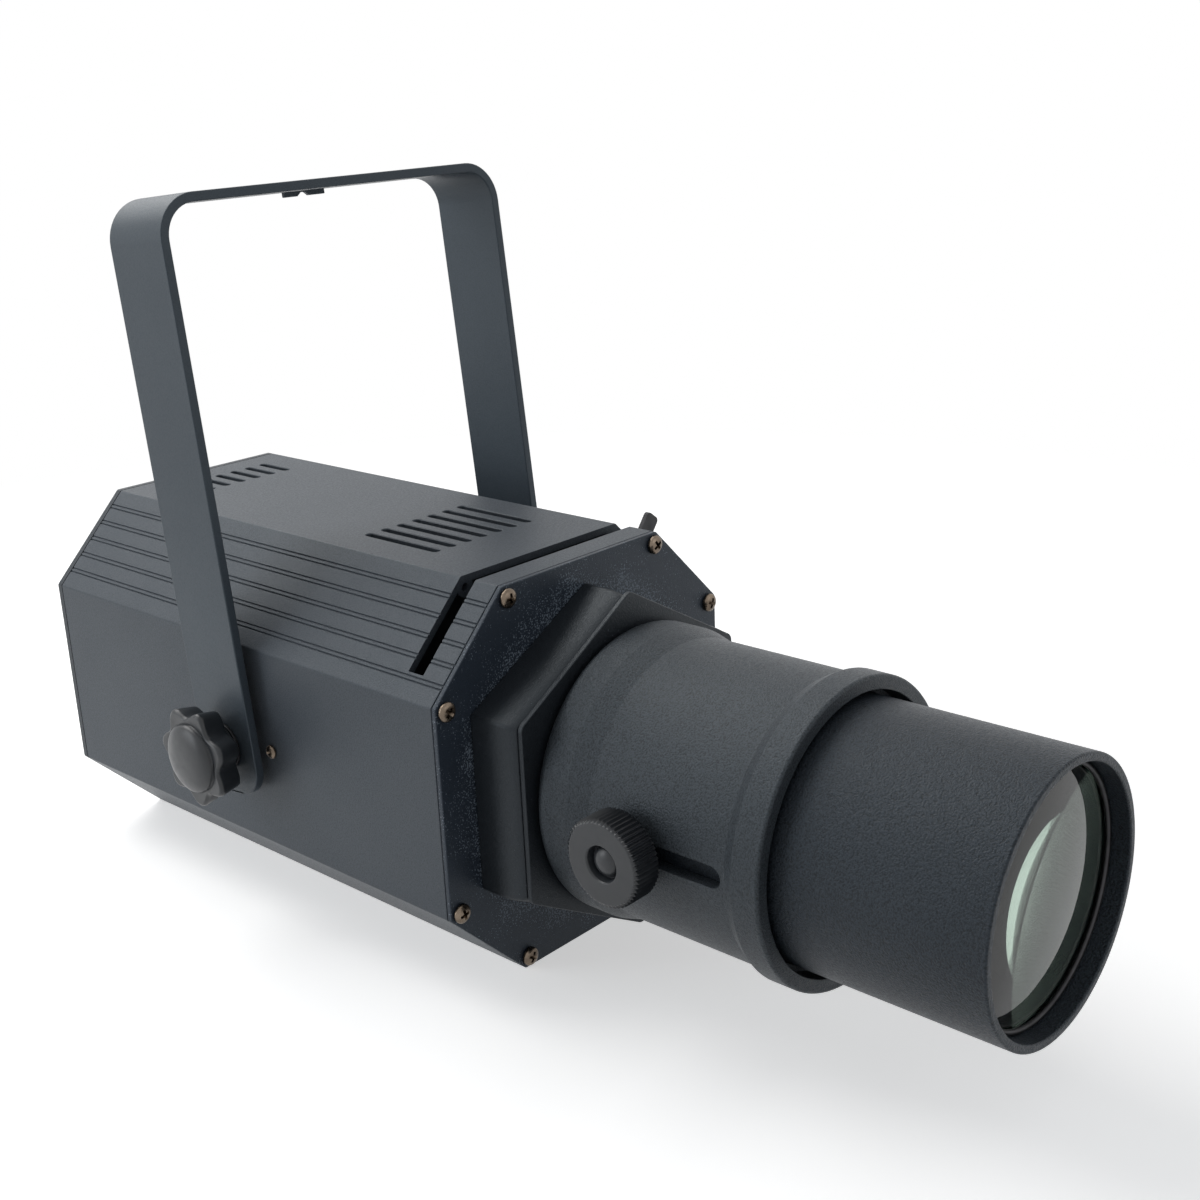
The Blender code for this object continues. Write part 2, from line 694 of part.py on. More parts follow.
def rear_screw_centres():
    # Two in the top and two in the bottom, alike on the left and the right
    centres = port_centres()
    return [centres[2], centres[3], centres[6], centres[7]]


def make_side_screws():
    for name, side in (("side_screw_left", -1), ("side_screw_right", 1)):
        screw = make_screw(name, SIDE_SCREW_HEAD_RADIUS, SIDE_SCREW_HEAD_HEIGHT,
                           SIDE_SCREW_SHANK_RADIUS, SIDE_SCREW_LENGTH)
        place(screw, SCREW_METAL, None, (side * (HALF + GAP), FRONT_Y + SIDE_SCREW_BEHIND_FRONT, AXIS_Z),
              (0, side * math.pi / 2, 0))


# End plates, hood and flange

def make_front_plate():
    holes = [screw_hole(centre) for centre in port_centres()]
    opening = circle(TUBE_RADIUS, LARGE_ROUND)
    plate = slab("front_plate", [rounded(octagon(), PLATE_CORNER), opening] + holes,
                 FRONT_PLATE_THICKNESS - GAP, GAP)
    return place(plate, DARK_COAT, optical_axis)


def hexagon(half_width, shoulder, peak, inset=0.0):
    # Upright sides and a corner at the top and the bottom; an inset moves every side inwards
    slope = math.atan2(peak - shoulder, half_width)
    side = half_width - inset
    tip = peak - inset / math.cos(slope)
    low = tip - side * math.tan(slope)
    return [(side, low), (0, tip), (-side, low), (-side, -low), (0, -tip), (side, -low)]


def hood_outline(inset, corner, height):
    shape = hexagon(HOOD_HALF_WIDTH, HOOD_SHOULDER, HOOD_PEAK, inset)
    return [(x, y, height) for x, y in rounded(shape, corner)]


def hood_sections(wall, corner, low, high, steps):
    # The walls leave the plate square and curve in along a quarter ellipse
    sections = [hood_outline(wall, corner, low)]
    for i in range(steps + 1):
        share = i / steps
        inset = HOOD_DRAW_IN * (1 - math.sqrt(1 - share ** 2))
        height = HOOD_DEPTH - HOOD_CURVE_LENGTH * (1 - share)
        sections.append(hood_outline(wall + inset, corner, height))
    if high > HOOD_DEPTH:
        sections.append([(x, y, high) for x, y, z in sections[-1]])
    return sections


def make_hood():
    hood = loft("hex_hood", hood_sections(0, HOOD_CORNER, 0, HOOD_DEPTH, 4))
    hollow = loft("hood_cutter", hood_sections(HOOD_WALL, HOOD_CORNER / 2, -HOOD_WALL,
                                               HOOD_DEPTH + HOOD_WALL, 2))
    place(hood, DARK_COAT, optical_axis, (0, 0, HOOD_BACK))
    cut(hood, to_cutter(place(hollow, parent=optical_axis, location=(0, 0, HOOD_BACK))))
    return hood


def make_flange():
    opening = circle(SPIGOT_RADIUS + GAP, LARGE_ROUND)
    shape = hexagon(FLANGE_HALF_WIDTH, FLANGE_SHOULDER, FLANGE_PEAK)
    flange = slab("barrel_flange", [rounded(shape, FLANGE_CORNER), opening],
                  FLANGE_THICKNESS, FLANGE_BACK)
    return place(flange, DARK_COAT, optical_axis)


# Barrel and lens tube

def quarter(centre, radius, start, steps):
    # A quarter circle in a turned profile, clockwise as the profile runs
    return [(centre[0] + radius * math.cos(start - math.pi / 2 * i / steps),
             centre[1] + radius * math.sin(start - math.pi / 2 * i / steps)) for i in range(steps + 1)]


def make_barrel():
    ring_end = BARREL_BACK + RING_LENGTH
    collar_start = BARREL_FRONT - COLLAR_LENGTH
    bore_start = BARREL_FRONT - COLLAR_BORE_DEPTH
    edge = COLLAR_EDGE
    profile = [(COLLAR_BORE, BARREL_FRONT)]
    profile += quarter((COLLAR_RADIUS - edge, BARREL_FRONT - edge), edge, math.pi / 2, 1)
    profile += [(COLLAR_RADIUS, collar_start), (BARREL_RADIUS, collar_start - COLLAR_CHAMFER),
                (BARREL_RADIUS, ring_end + RING_TAPER), (COLLAR_RADIUS, ring_end)]
    profile += quarter((COLLAR_RADIUS - RING_EDGE, BARREL_BACK + RING_EDGE), RING_EDGE, 0, 2)
    profile += [(SPIGOT_RADIUS, BARREL_BACK), (SPIGOT_RADIUS, BARREL_BACK - SPIGOT_LENGTH),
                (BARREL_BORE, BARREL_BACK - SPIGOT_LENGTH), (BARREL_BORE, bore_start),
                (COLLAR_BORE, bore_start)]
    barrel = place(lathe("barrel", profile, LARGE_ROUND, closed=True), BARREL_COAT, optical_axis)
    slot = slab("focus_slot_cutter", [stadium((0, 0), (0, FOCUS_TRAVEL), FOCUS_SLOT_WIDTH, 5)],
                BARREL_RADIUS, BARREL_RADIUS / 2)
    cut(barrel, to_cutter(place(slot, parent=focus_axis)))
    return barrel


def ball_radius(radius, height):
    return (radius ** 2 + height ** 2) / (2 * height)


def crown_rise(radius, height, at):
    # How far a lens's face stands above its edge, at a distance from the middle
    ball = ball_radius(radius, height)
    return height - ball + math.sqrt(ball ** 2 - at ** 2)


def lens_seat(face, side):
    # A shoulder in the tube that one face of a lens rests on: side is -1 behind the lens, 1 before it
    inner = TUBE_BORE - LENS_SEAT_HEIGHT
    near = face + side * (crown_rise(LENS_RADIUS, LENS_CROWN, inner) + GAP)
    far = near + side * LENS_SEAT_LENGTH
    back, front = sorted((near, far))
    return [(TUBE_BORE, back), (inner, back), (inner, front), (TUBE_BORE, front)]


def make_lens_tube():
    profile = [(TUBE_BORE, TUBE_FRONT), (TUBE_RADIUS - EDGE, TUBE_FRONT), (TUBE_RADIUS, TUBE_FRONT - EDGE),
               (TUBE_RADIUS, TUBE_BACK + EDGE), (TUBE_RADIUS - EDGE, TUBE_BACK), (TUBE_BORE, TUBE_BACK)]
    profile += lens_seat(REAR_LENS_EDGE, 1) + lens_seat(FRONT_LENS_EDGE - LENS_EDGE, -1)
    tube = place(lathe("lens_tube", profile, LARGE_ROUND, closed=True), BARREL_COAT, optical_axis)
    hole = cylinder("focus_hole_cutter", FOCUS_SHANK_RADIUS + RUNNING, TUBE_RADIUS / 2, BARREL_RADIUS)
    cut(tube, to_cutter(place(hole, parent=focus_axis)))
    return tube


def crown(radius, height, middle, steps=2):
    # Half of a spherical face, from the middle of the lens out to its edge
    ball = ball_radius(radius, height)
    reach = math.asin(radius / ball)
    return [(ball * math.sin(reach * i / steps), middle - ball * (1 - math.cos(reach * i / steps)))
            for i in range(steps + 1)]


def make_lenses():
    for name, edge in (("front_lens", FRONT_LENS_EDGE), ("rear_lens", REAR_LENS_EDGE)):
        front = crown(LENS_RADIUS, LENS_CROWN, LENS_CROWN, 3)
        back = [(radius, -LENS_EDGE - height) for radius, height in reversed(front)]
        place(lathe(name, front + back, MIDDLE_ROUND), LENS_GLASS, optical_axis, (0, 0, edge))
    # The front ring lies before its lens, and the rear one behind its own
    lift = GAP + RETAINING_WIRE
    for name, height in (("retaining_ring", FRONT_LENS_EDGE + lift),
                         ("rear_lens_ring", REAR_LENS_EDGE - LENS_EDGE - lift)):
        middle = (TUBE_BORE - GAP - RETAINING_WIRE, 0)
        section = [polar(RETAINING_WIRE, -2 * math.pi * i / WIRE_SIDES, middle) for i in range(WIRE_SIDES)]
        place(lathe(name, section, MIDDLE_ROUND, closed=True), BLACK_METAL, optical_axis, (0, 0, height))


def knurled(radius, height):
    count = 2 * KNURL_COUNT
    return [(*polar(radius - (KNURL_DEPTH if i % 2 else 0), 2 * math.pi * i / count), height)
            for i in range(count)]


def make_thumb_screw():
    low = FOCUS_KNOB_BASE
    high = low + FOCUS_KNOB_HEIGHT
    wide = FOCUS_KNOB_RADIUS
    knob = loft("thumb_screw", [knurled(wide - EDGE, low), knurled(wide, low + EDGE),
                                knurled(wide, high - EDGE), knurled(wide - EDGE, high)])
    place(knob, BLACK_PLASTIC, focus_axis)
    hub_base = low - FOCUS_HUB_HEIGHT + EDGE
    hub = cylinder("focus_hub_cutter", FOCUS_HUB_RADIUS, hub_base, low + FOCUS_HUB_HEIGHT)
    shank = cylinder("focus_shank_cutter", FOCUS_SHANK_RADIUS, FOCUS_SHANK_END, low)
    recess = cylinder("focus_recess_cutter", FOCUS_RECESS_RADIUS, high - FOCUS_RECESS_DEPTH,
                      high + FOCUS_RECESS_DEPTH)
    for tool in (hub, shank, recess):
        to_cutter(place(tool, parent=focus_axis))
    join(knob, hub, shank)
    cut(knob, recess)
    return knob


# Yoke and its pivots

def make_yoke():
    inner_bend = YOKE_BEND - YOKE_THICKNESS
    bend_centre = (ARM_OUTER - YOKE_BEND, YOKE_RISE - YOKE_BEND)
    far_centre = (-bend_centre[0], bend_centre[1])
    outline = [(ARM_OUTER, -YOKE_TAIL)] + arc(bend_centre, YOKE_BEND, 0, math.pi / 2, 5)
    outline += arc(far_centre, YOKE_BEND, math.pi / 2, math.pi, 5) + [(-ARM_OUTER, -YOKE_TAIL)]
    outline += [(-ARM_INNER, -YOKE_TAIL)] + arc(far_centre, inner_bend, math.pi, math.pi / 2, 5)
    outline += arc(bend_centre, inner_bend, math.pi / 2, 0, 5) + [(ARM_INNER, -YOKE_TAIL)]
    yoke = slab("yoke_bracket", [outline], YOKE_WIDTH, -YOKE_WIDTH / 2)
    place(yoke, DARK_COAT, yoke_pivot, rotation=(math.pi / 2, 0, 0))
    half = YOKE_WIDTH / 2
    corner = YOKE_TAIL_CORNER
    tail = arc((-half + corner, corner - YOKE_TAIL), corner, math.pi, 1.5 * math.pi, 4)
    tail += arc((half - corner, corner - YOKE_TAIL), corner, 1.5 * math.pi, 2 * math.pi, 4)
    tall = YOKE_RISE + YOKE_THICKNESS
    wide = YOKE_WIDTH
    limit = slab("yoke_tail_cutter", [tail + [(wide, 0), (wide, tall), (-wide, tall), (-wide, 0)]],
                 3 * ARM_OUTER, -1.5 * ARM_OUTER)
    to_cutter(place(limit, parent=yoke_pivot, rotation=(math.pi / 2, 0, math.pi / 2)))
    boolean(yoke, limit, "INTERSECT")
    arm_hole = cylinder("arm_hole_cutter", STUD_RADIUS + ARM_HOLE_CLEARANCE, -1.5 * ARM_OUTER,
                        1.5 * ARM_OUTER)
    to_cutter(place(arm_hole, parent=yoke_pivot, rotation=(0, math.pi / 2, 0)))
    clamp_hole = cylinder("clamp_hole_cutter", CLAMP_HOLE_RADIUS, YOKE_RISE - 2 * YOKE_THICKNESS,
                          YOKE_RISE + YOKE_THICKNESS)
    to_cutter(place(clamp_hole, parent=yoke_pivot))
    join(yoke, lip_tool())
    cut(yoke, arm_hole, clamp_hole)
    return yoke


def lip_tool():
    under = YOKE_RISE - YOKE_THICKNESS
    half = LIP_SPAN / 2
    notch = LIP_NOTCH / 2
    outline = [(-half, under + LIP_DROP), (-half, under - LIP_DROP), (-2 * notch, under - LIP_DROP),
               (-notch, under - EDGE), (0, under - EDGE), (notch, under - LIP_DROP),
               (half, under - LIP_DROP), (half, under + LIP_DROP)]
    tool = slab("lip_cutter", [outline], LIP_THICKNESS, -CLAMP_HOLE_RADIUS - 1.5 * LIP_THICKNESS)
    return to_cutter(place(tool, parent=yoke_pivot, rotation=(math.pi / 2, 0, 0)))


def lobed(scale, height):
    # Round lobes with hollows between them
    count = KNOB_LOBE_SIDES * KNOB_LOBES
    outline = []
    for i in range(count):
        angle = 2 * math.pi * i / count
        radius = KNOB_RADIUS - KNOB_LOBE_DEPTH * (1 - math.cos(KNOB_LOBES * angle)) / 2
        outline.append((*polar(radius * scale, angle), height))
    return outline


def make_star_knob(name, side):
    low = KNOB_HUB_HEIGHT
    high = low + KNOB_THICKNESS
    top = high + KNOB_CAP_RISE
    knob = loft(name, [lobed(KNOB_BACK_SCALE, low), lobed(1, high - KNOB_EDGE), lobed(KNOB_RIM_SCALE, high)])
    profile = crown(KNOB_CAP_RADIUS - EDGE, KNOB_CAP_RISE / 2, top)
    profile += [(KNOB_CAP_RADIUS, top - KNOB_CAP_RISE / 2 - EDGE), (KNOB_CAP_RADIUS, low + KNOB_EDGE),
                (0, low + KNOB_EDGE)]
    cap = lathe(f"{name}_cap_cutter", profile, SMALL_ROUND)
    hub = cylinder(f"{name}_hub_cutter", KNOB_HUB_RADIUS, 0, low + KNOB_EDGE / 2)
    stud = cylinder(f"{name}_stud_cutter", STUD_RADIUS, -STUD_LENGTH, low)
    where = (side * KNOB_BASE, 0, 0)
    turn = (0, side * math.pi / 2, 0)
    place(knob, BLACK_PLASTIC, yoke_pivot, where, turn)
    for tool in (cap, hub, stud):
        to_cutter(place(tool, parent=yoke_pivot, location=where, rotation=turn))
    join(knob, cap, hub, stud)
    return knob


def make_pivots():
    flange_top = YOKE_SIDE_GAP - GAP
    bore = STUD_RADIUS + RUNNING
    bush_profile = [(bore, flange_top), (BUSH_FLANGE_RADIUS, flange_top), (BUSH_FLANGE_RADIUS, GAP),
                    (BUSH_SLEEVE_RADIUS, GAP), (BUSH_SLEEVE_RADIUS, -BUSH_DEPTH), (bore, -BUSH_DEPTH)]
    washer_profile = tube_profile(STUD_RADIUS + ARM_HOLE_CLEARANCE, WASHER_RADIUS, 0, WASHER_THICKNESS)
    for end, side in (("left", -1), ("right", 1)):
        turn = (0, side * math.pi / 2, 0)
        bush = lathe(f"pivot_bush_{end}", bush_profile, SMALL_ROUND, closed=True)
        place(bush, BRIGHT_METAL, None, (side * HALF, 0, AXIS_Z), turn)
        washer = lathe(f"knob_washer_{end}", washer_profile, SMALL_ROUND, closed=True)
        place(washer, BRIGHT_METAL, yoke_pivot, (side * (ARM_OUTER + GAP), 0, 0), turn)
        make_star_knob(f"star_knob_{end}", side)


# Iris

def leaf_outline():
    # Drawn round the leaf's pivot, with the iris fully open and the optical axis at local -X
    axis = (-LEAF_PIVOT_RADIUS, 0)
    pin = polar(LEAF_TAIL_LENGTH, LEAF_TAIL_ANGLE)
    inward = LEAF_TAIL_ANGLE - math.pi / 2
    outward = LEAF_TAIL_ANGLE + math.pi / 2
    tip = polar((LEAF_INNER_RADIUS + LEAF_OUTER_RADIUS) / 2, LEAF_SPAN, axis)
    outline = arc(axis, LEAF_OUTER_RADIUS, 2 * LEAF_ROOT, LEAF_SPAN, 6)
    outline += arc(tip, (LEAF_OUTER_RADIUS - LEAF_INNER_RADIUS) / 2, LEAF_SPAN, LEAF_SPAN + math.pi, 4)[1:-1]
    outline += arc(axis, LEAF_INNER_RADIUS, LEAF_SPAN, -LEAF_ROOT, 6)
    outline.append(polar(LEAF_EAR_RADIUS, inward, polar(LEAF_TAIL_LENGTH * LEAF_WAIST, LEAF_TAIL_ANGLE)))
    outline += arc(pin, LEAF_TAIL_END_RADIUS, inward, outward, 3)
    outline += arc((0, 0), LEAF_EAR_RADIUS, outward, math.radians(100), 3)
    return outline


def make_leaves():
    outline = leaf_outline()
    for i in range(LEAF_COUNT):
        name = f"iris_leaf_{i + 1}"
        around = 2 * math.pi * i / LEAF_COUNT
        face = TOP_LEAF - i * LEAF_STEP
        leaf = slab(name, [outline], LEAF_THICKNESS)
        pivot_pin = cylinder(f"{name}_pivot_cutter", LEAF_PIN_RADIUS, CASSETTE_FRONT - PIN_REACH - face,
                             LEAF_THICKNESS / 2, TINY_ROUND)
        drive_pin = cylinder(f"{name}_drive_cutter", LEAF_PIN_RADIUS, LEAF_THICKNESS / 2,
                             RING_BACK + PIN_REACH - face, TINY_ROUND)
        where = (*polar(LEAF_PIVOT_RADIUS, around), face)
        turn = (0, 0, around + LEAF_RATIO * REST_TURN)
        drive_pin.data.transform(Matrix.Translation((*polar(LEAF_TAIL_LENGTH, LEAF_TAIL_ANGLE), 0)))
        place(leaf, BLACK_METAL, optical_axis, where, turn)
        for tool in (pivot_pin, drive_pin):
            to_cutter(place(tool, parent=optical_axis, location=where, rotation=turn))
        join(leaf, pivot_pin, drive_pin)


def cam_slot(around):
    # The path that a leaf's pin takes across the ring, with round ends, for the ring at rest
    half = LEAF_PIN_RADIUS + SLOT_CLEARANCE
    path = []
    for i in range(SLOT_STEPS + 1):
        turn = LEVER_SWEEP * i / SLOT_STEPS
        pin = polar(LEAF_TAIL_LENGTH, LEAF_TAIL_ANGLE + LEAF_RATIO * turn, (LEAF_PIVOT_RADIUS, 0))
        radius = math.hypot(*pin)
        path.append(polar(radius, math.atan2(pin[1], pin[0]) + around + REST_TURN - turn))
    right = []
    left = []
    for i, point in enumerate(path):
        before = path[max(i - 1, 0)]
        after = path[min(i + 1, SLOT_STEPS)]
        way = math.atan2(after[1] - before[1], after[0] - before[0])
        right.append(polar(half, way - math.pi / 2, point))
        left.append(polar(half, way + math.pi / 2, point))
    first = math.atan2(path[1][1] - path[0][1], path[1][0] - path[0][0])
    last = math.atan2(path[-1][1] - path[-2][1], path[-1][0] - path[-2][0])
    far_end = arc(path[-1], half, last - math.pi / 2, last + math.pi / 2, 3)[1:-1]
    near_end = arc(path[0], half, first + math.pi / 2, first + 1.5 * math.pi, 3)[1:-1]
    return right + far_end + left[::-1] + near_end


def make_iris_ring():
    # One plate carries the lever, and a cam slot for the pin of each leaf
    lever = math.pi / 2 - LEVER_ANGLE
    half = LEVER_WIDTH / 2
    root = math.asin(half / RING_OUTER_RADIUS)
    outline = arc((0, 0), RING_OUTER_RADIUS, lever + root, lever + 2 * math.pi - root, LARGE_ROUND)
    near = LEVER_TIP_RADIUS - LEVER_CORNER
    side = half - LEVER_CORNER
    blade = arc((near, -side), LEVER_CORNER, -math.pi / 2, 0, 3)
    blade += arc((near, side), LEVER_CORNER, 0, math.pi / 2, 3)
    for x, y in blade:
        outline.append(polar(math.hypot(x, y), lever + math.atan2(y, x)))
    slots = [cam_slot(2 * math.pi * i / LEAF_COUNT) for i in range(LEAF_COUNT)]
    ring = slab("iris_ring", [outline, circle(RING_INNER_RADIUS, MIDDLE_ROUND)] + slots, RING_THICKNESS,
                RING_BACK)
    return place(ring, BLACK_METAL, optical_axis)


def make_cassette():
    inner = RING_OUTER_RADIUS + RIM_CLEARANCE
    outer = inner + RIM_WALL
    opening = circle(CASSETTE_OPENING_RADIUS, MIDDLE_ROUND)
    pivots = circle(LEAF_PIVOT_RADIUS, LEAF_COUNT)
    holes = [circle(LEAF_PIN_RADIUS + RUNNING, TINY_ROUND, pivot) for pivot in pivots]
    floor = slab("iris_cassette", [circle(outer + CASSETTE_LIP, LARGE_ROUND), opening] + holes,
                 CASSETTE_FLOOR, CASSETTE_BACK)
    place(floor, BLACK_METAL, optical_axis)
    spare = 2 * math.asin(LEVER_WIDTH / outer)
    start = math.pi / 2 - LEVER_OPEN_ANGLE + LEVER_SWEEP + spare
    end = math.pi / 2 - LEVER_OPEN_ANGLE + 2 * math.pi - spare
    low = CASSETTE_FRONT - CASSETTE_FLOOR / 2
    wall = arc((0, 0), outer, start, end, MIDDLE_ROUND) + arc((0, 0), inner, end, start, MIDDLE_ROUND)
    rim = slab("cassette_rim_cutter", [wall], COVER_BACK - GAP - low, low)
    join(floor, to_cutter(place(rim, parent=optical_axis)))
    cover = slab("iris_cover", [circle(outer, LARGE_ROUND), opening], COVER_THICKNESS, COVER_BACK)
    return place(cover, BLACK_METAL, optical_axis)


# Optics, light source and cooling

def make_gate():
    plate = slab("gate_plate", [ported_bore(GAP), circle(GATE_RADIUS, MIDDLE_ROUND)], GATE_THICKNESS,
                 GATE_FRONT - GATE_THICKNESS)
    return place(plate, BLACK_METAL, optical_axis)


def make_optics_frame(side_screw_cutter):
    # A channel: its web holds the condenser and its flanges are screwed to the housing's sides
    half = BAY_WIDTH / 2
    back = -FRAME_BEHIND_FRONT - FRAME_THICKNESS
    front = -FRAME_BEHIND_FRONT + FRAME_FLANGE
    web = -FRAME_BEHIND_FRONT
    inside = half - FRAME_THICKNESS
    outline = [(-half, back), (half, back), (half, front), (inside, front), (inside, web),
               (-inside, web), (-inside, front), (-half, front)]
    frame = slab("optics_frame", [outline], FRAME_HEIGHT, -FRAME_HEIGHT / 2)
    place(frame, BRIGHT_METAL, optical_axis, rotation=(math.pi / 2, 0, 0))
    opening = cylinder("condenser_opening_cutter", CONDENSER_OPENING_RADIUS, back - FRAME_THICKNESS,
                       web + FRAME_THICKNESS, MIDDLE_ROUND)
    cut(frame, to_cutter(place(opening, parent=optical_axis)), side_screw_cutter)
    return frame


def make_condenser():
    seat = GAP - FRAME_BEHIND_FRONT
    profile = crown(CONDENSER_RADIUS, CONDENSER_CROWN, CONDENSER_EDGE + CONDENSER_CROWN, 3)
    profile += [(CONDENSER_RADIUS, 0), (0, 0)]
    place(lathe("condenser_lens", profile, MIDDLE_ROUND), LENS_GLASS, optical_axis, (0, 0, seat))
    inner = CONDENSER_RADIUS + GAP
    high = CONDENSER_EDGE + crown_rise(CONDENSER_RADIUS, CONDENSER_CROWN, inner - CLIP_LIP) + GAP
    clip = [(inner - CLIP_LIP, high + CLIP_WALL), (inner + CLIP_WALL, high + CLIP_WALL),
            (inner + CLIP_WALL, 0), (inner, 0), (inner, high), (inner - CLIP_LIP, high)]
    place(lathe("lens_clip_ring", clip, MIDDLE_ROUND, closed=True), BRIGHT_METAL, optical_axis, (0, 0, seat))


def make_light_source():
    board = block("led_board", (-BOARD_SIZE / 2, -BOARD_SIZE / 2, 0),
                  (BOARD_SIZE / 2, BOARD_SIZE / 2, BOARD_THICKNESS))
    emitter = cylinder("emitter_cutter", EMITTER_RADIUS, BOARD_THICKNESS / 2,
                       BOARD_THICKNESS + EMITTER_HEIGHT)
    where = (0, 0, GAP - SINK_BEHIND_FRONT)
    place(board, BOARD_WHITE, optical_axis, where)
    join(board, to_cutter(place(emitter, parent=optical_axis, location=where)))
    half = BAY_WIDTH / 2
    front = -SINK_BEHIND_FRONT
    web = front - SINK_BASE
    tip = web - SINK_FIN_LENGTH
    outline = [(half, web), (half, front), (-half, front), (-half, web)]
    for i in range(SINK_FIN_COUNT):
        middle = (i - (SINK_FIN_COUNT - 1) / 2) * SINK_FIN_PITCH
        near = middle - SINK_FIN_THICKNESS / 2
        far = middle + SINK_FIN_THICKNESS / 2
        outline += [(near, web), (near, tip), (far, tip), (far, web)]
    sink = slab("heat_sink", [outline], SINK_HEIGHT, -SINK_HEIGHT / 2)
    return place(sink, BRIGHT_METAL, optical_axis, rotation=(math.pi / 2, 0, 0))


def blade_section(radius, chord, pitch):
    along = Vector((0, math.cos(pitch), math.sin(pitch)))
    across = Vector((0, -math.sin(pitch), math.cos(pitch)))
    corners = ((-1, -1), (1, -1), (1, 1), (-1, 1))
    return [Vector((radius, 0, 0)) + along * a * chord / 2 + across * b * BLADE_THICKNESS / 2
            for a, b in corners]


def make_fan():
    back = -(REAR_PANEL_THICKNESS + GAP)
    front = back - FAN_DEPTH
    where = (0, FAN_RISE, 0)
    half = FAN_SIZE / 2
    square = [(-half, -half), (half, -half), (half, half), (-half, half)]
    duct = circle(FAN_BORE_RADIUS, MIDDLE_ROUND)
    frame = slab("fan_frame", [rounded(square, FAN_CORNER), duct], FAN_DEPTH, front)
    place(frame, BLACK_PLASTIC, rear_face, where)
    strut_top = back - GAP
    reach = FAN_BORE_RADIUS + EDGE
    strut = FAN_STRUT_WIDTH / 2
    across = [(-reach, -strut), (reach, -strut), (reach, strut), (-reach, strut)]
    bar = slab("fan_strut_cutter", [across], FAN_STRUT_THICKNESS, strut_top - FAN_STRUT_THICKNESS)
    post = slab("fan_post_cutter", [[(y, -x) for x, y in across]], FAN_STRUT_THICKNESS - GAP,
                strut_top - FAN_STRUT_THICKNESS + GAP / 2)
    hub_base = strut_top - FAN_STRUT_THICKNESS - GAP
    hub = cylinder("fan_hub_cutter", FAN_HUB_RADIUS, hub_base, strut_top - GAP)
    spindle = cylinder("fan_spindle_cutter", SPINDLE_RADIUS, hub_base - SPINDLE_LENGTH, hub_base + GAP,
                       2 * TINY_ROUND)
    for tool in (bar, post, hub, spindle):
        to_cutter(place(tool, parent=rear_face, location=where))
    join(frame, bar, post, hub, spindle)
    rotor_top = hub_base - GAP
    rotor_low = rotor_top - ROTOR_LENGTH
    bore = SPINDLE_RADIUS + RUNNING
    bore_end = rotor_top - SPINDLE_LENGTH - GAP
    profile = [(bore, rotor_top), (ROTOR_HUB_RADIUS, rotor_top), (ROTOR_HUB_RADIUS, rotor_low + EDGE),
               (ROTOR_HUB_RADIUS - EDGE, rotor_low), (0, rotor_low)]
    rotor = lathe("fan_rotor", [(0, bore_end), (bore, bore_end)] + profile, 2 * TINY_ROUND)
    place(rotor, BLACK_PLASTIC, rear_face, where)
    middle = (rotor_top + rotor_low) / 2
    stations = (ROTOR_HUB_RADIUS - 2 * EDGE, (ROTOR_HUB_RADIUS + ROTOR_TIP_RADIUS) / 2, ROTOR_TIP_RADIUS)
    for i in range(BLADE_COUNT):
        blade = loft(f"fan_blade_{i + 1}_cutter", [
            blade_section(radius, BLADE_CHORD * share, pitch)
            for radius, (share, pitch) in zip(stations, BLADE_STATIONS)])
        turn = (0, 0, 2 * math.pi * i / BLADE_COUNT)
        to_cutter(place(blade, parent=rear_face, location=(0, FAN_RISE, middle), rotation=turn))
        join(rotor, blade)


def make_driver():
    width, height, length = DRIVER_SIZE
    floor = GAP + HOUSING_WALL - TOP
    case = block("led_driver", (-width / 2, floor, -DRIVER_BEHIND_FRONT - length),
                 (width / 2, floor + height, -DRIVER_BEHIND_FRONT))
    bevel(case, DRIVER_EDGE)
    return place(case, BRIGHT_METAL, optical_axis)


# Rear panel and its fittings

def rectangle(x, y, width, height):
    return [(x - width / 2, y - height / 2), (x + width / 2, y - height / 2),
            (x + width / 2, y + height / 2), (x - width / 2, y + height / 2)]


def grown(size, by):
    return (size[0] + 2 * by, size[1] + 2 * by)


def make_rear_panel():
    loops = [rounded(octagon(), PLATE_CORNER)]
    loops += [screw_hole(centre) for centre in rear_screw_centres()]
    rows = int((OUTLET_RADIUS - OUTLET_WIDTH) / OUTLET_PITCH)
    for row in range(-rows, rows + 1):
        height = row * OUTLET_PITCH
        reach = math.sqrt(OUTLET_RADIUS ** 2 - height ** 2) - OUTLET_WIDTH
        loops.append(stadium((-reach, height + FAN_RISE), (reach, height + FAN_RISE), OUTLET_WIDTH))
    loops.append(rectangle(INLET_X, -FITTING_DROP, *grown(INLET_BODY, GAP)))
    loops.append(rectangle(SWITCH_X, -FITTING_DROP, *grown(SWITCH_BODY, GAP)))
    loops.append(circle(DIMMER_BUSH_RADIUS + GAP, SMALL_ROUND, (DIMMER_X, -FITTING_DROP)))
    panel = slab("rear_panel", loops, REAR_PANEL_THICKNESS, -REAR_PANEL_THICKNESS)
    return place(panel, DARK_COAT, rear_face)


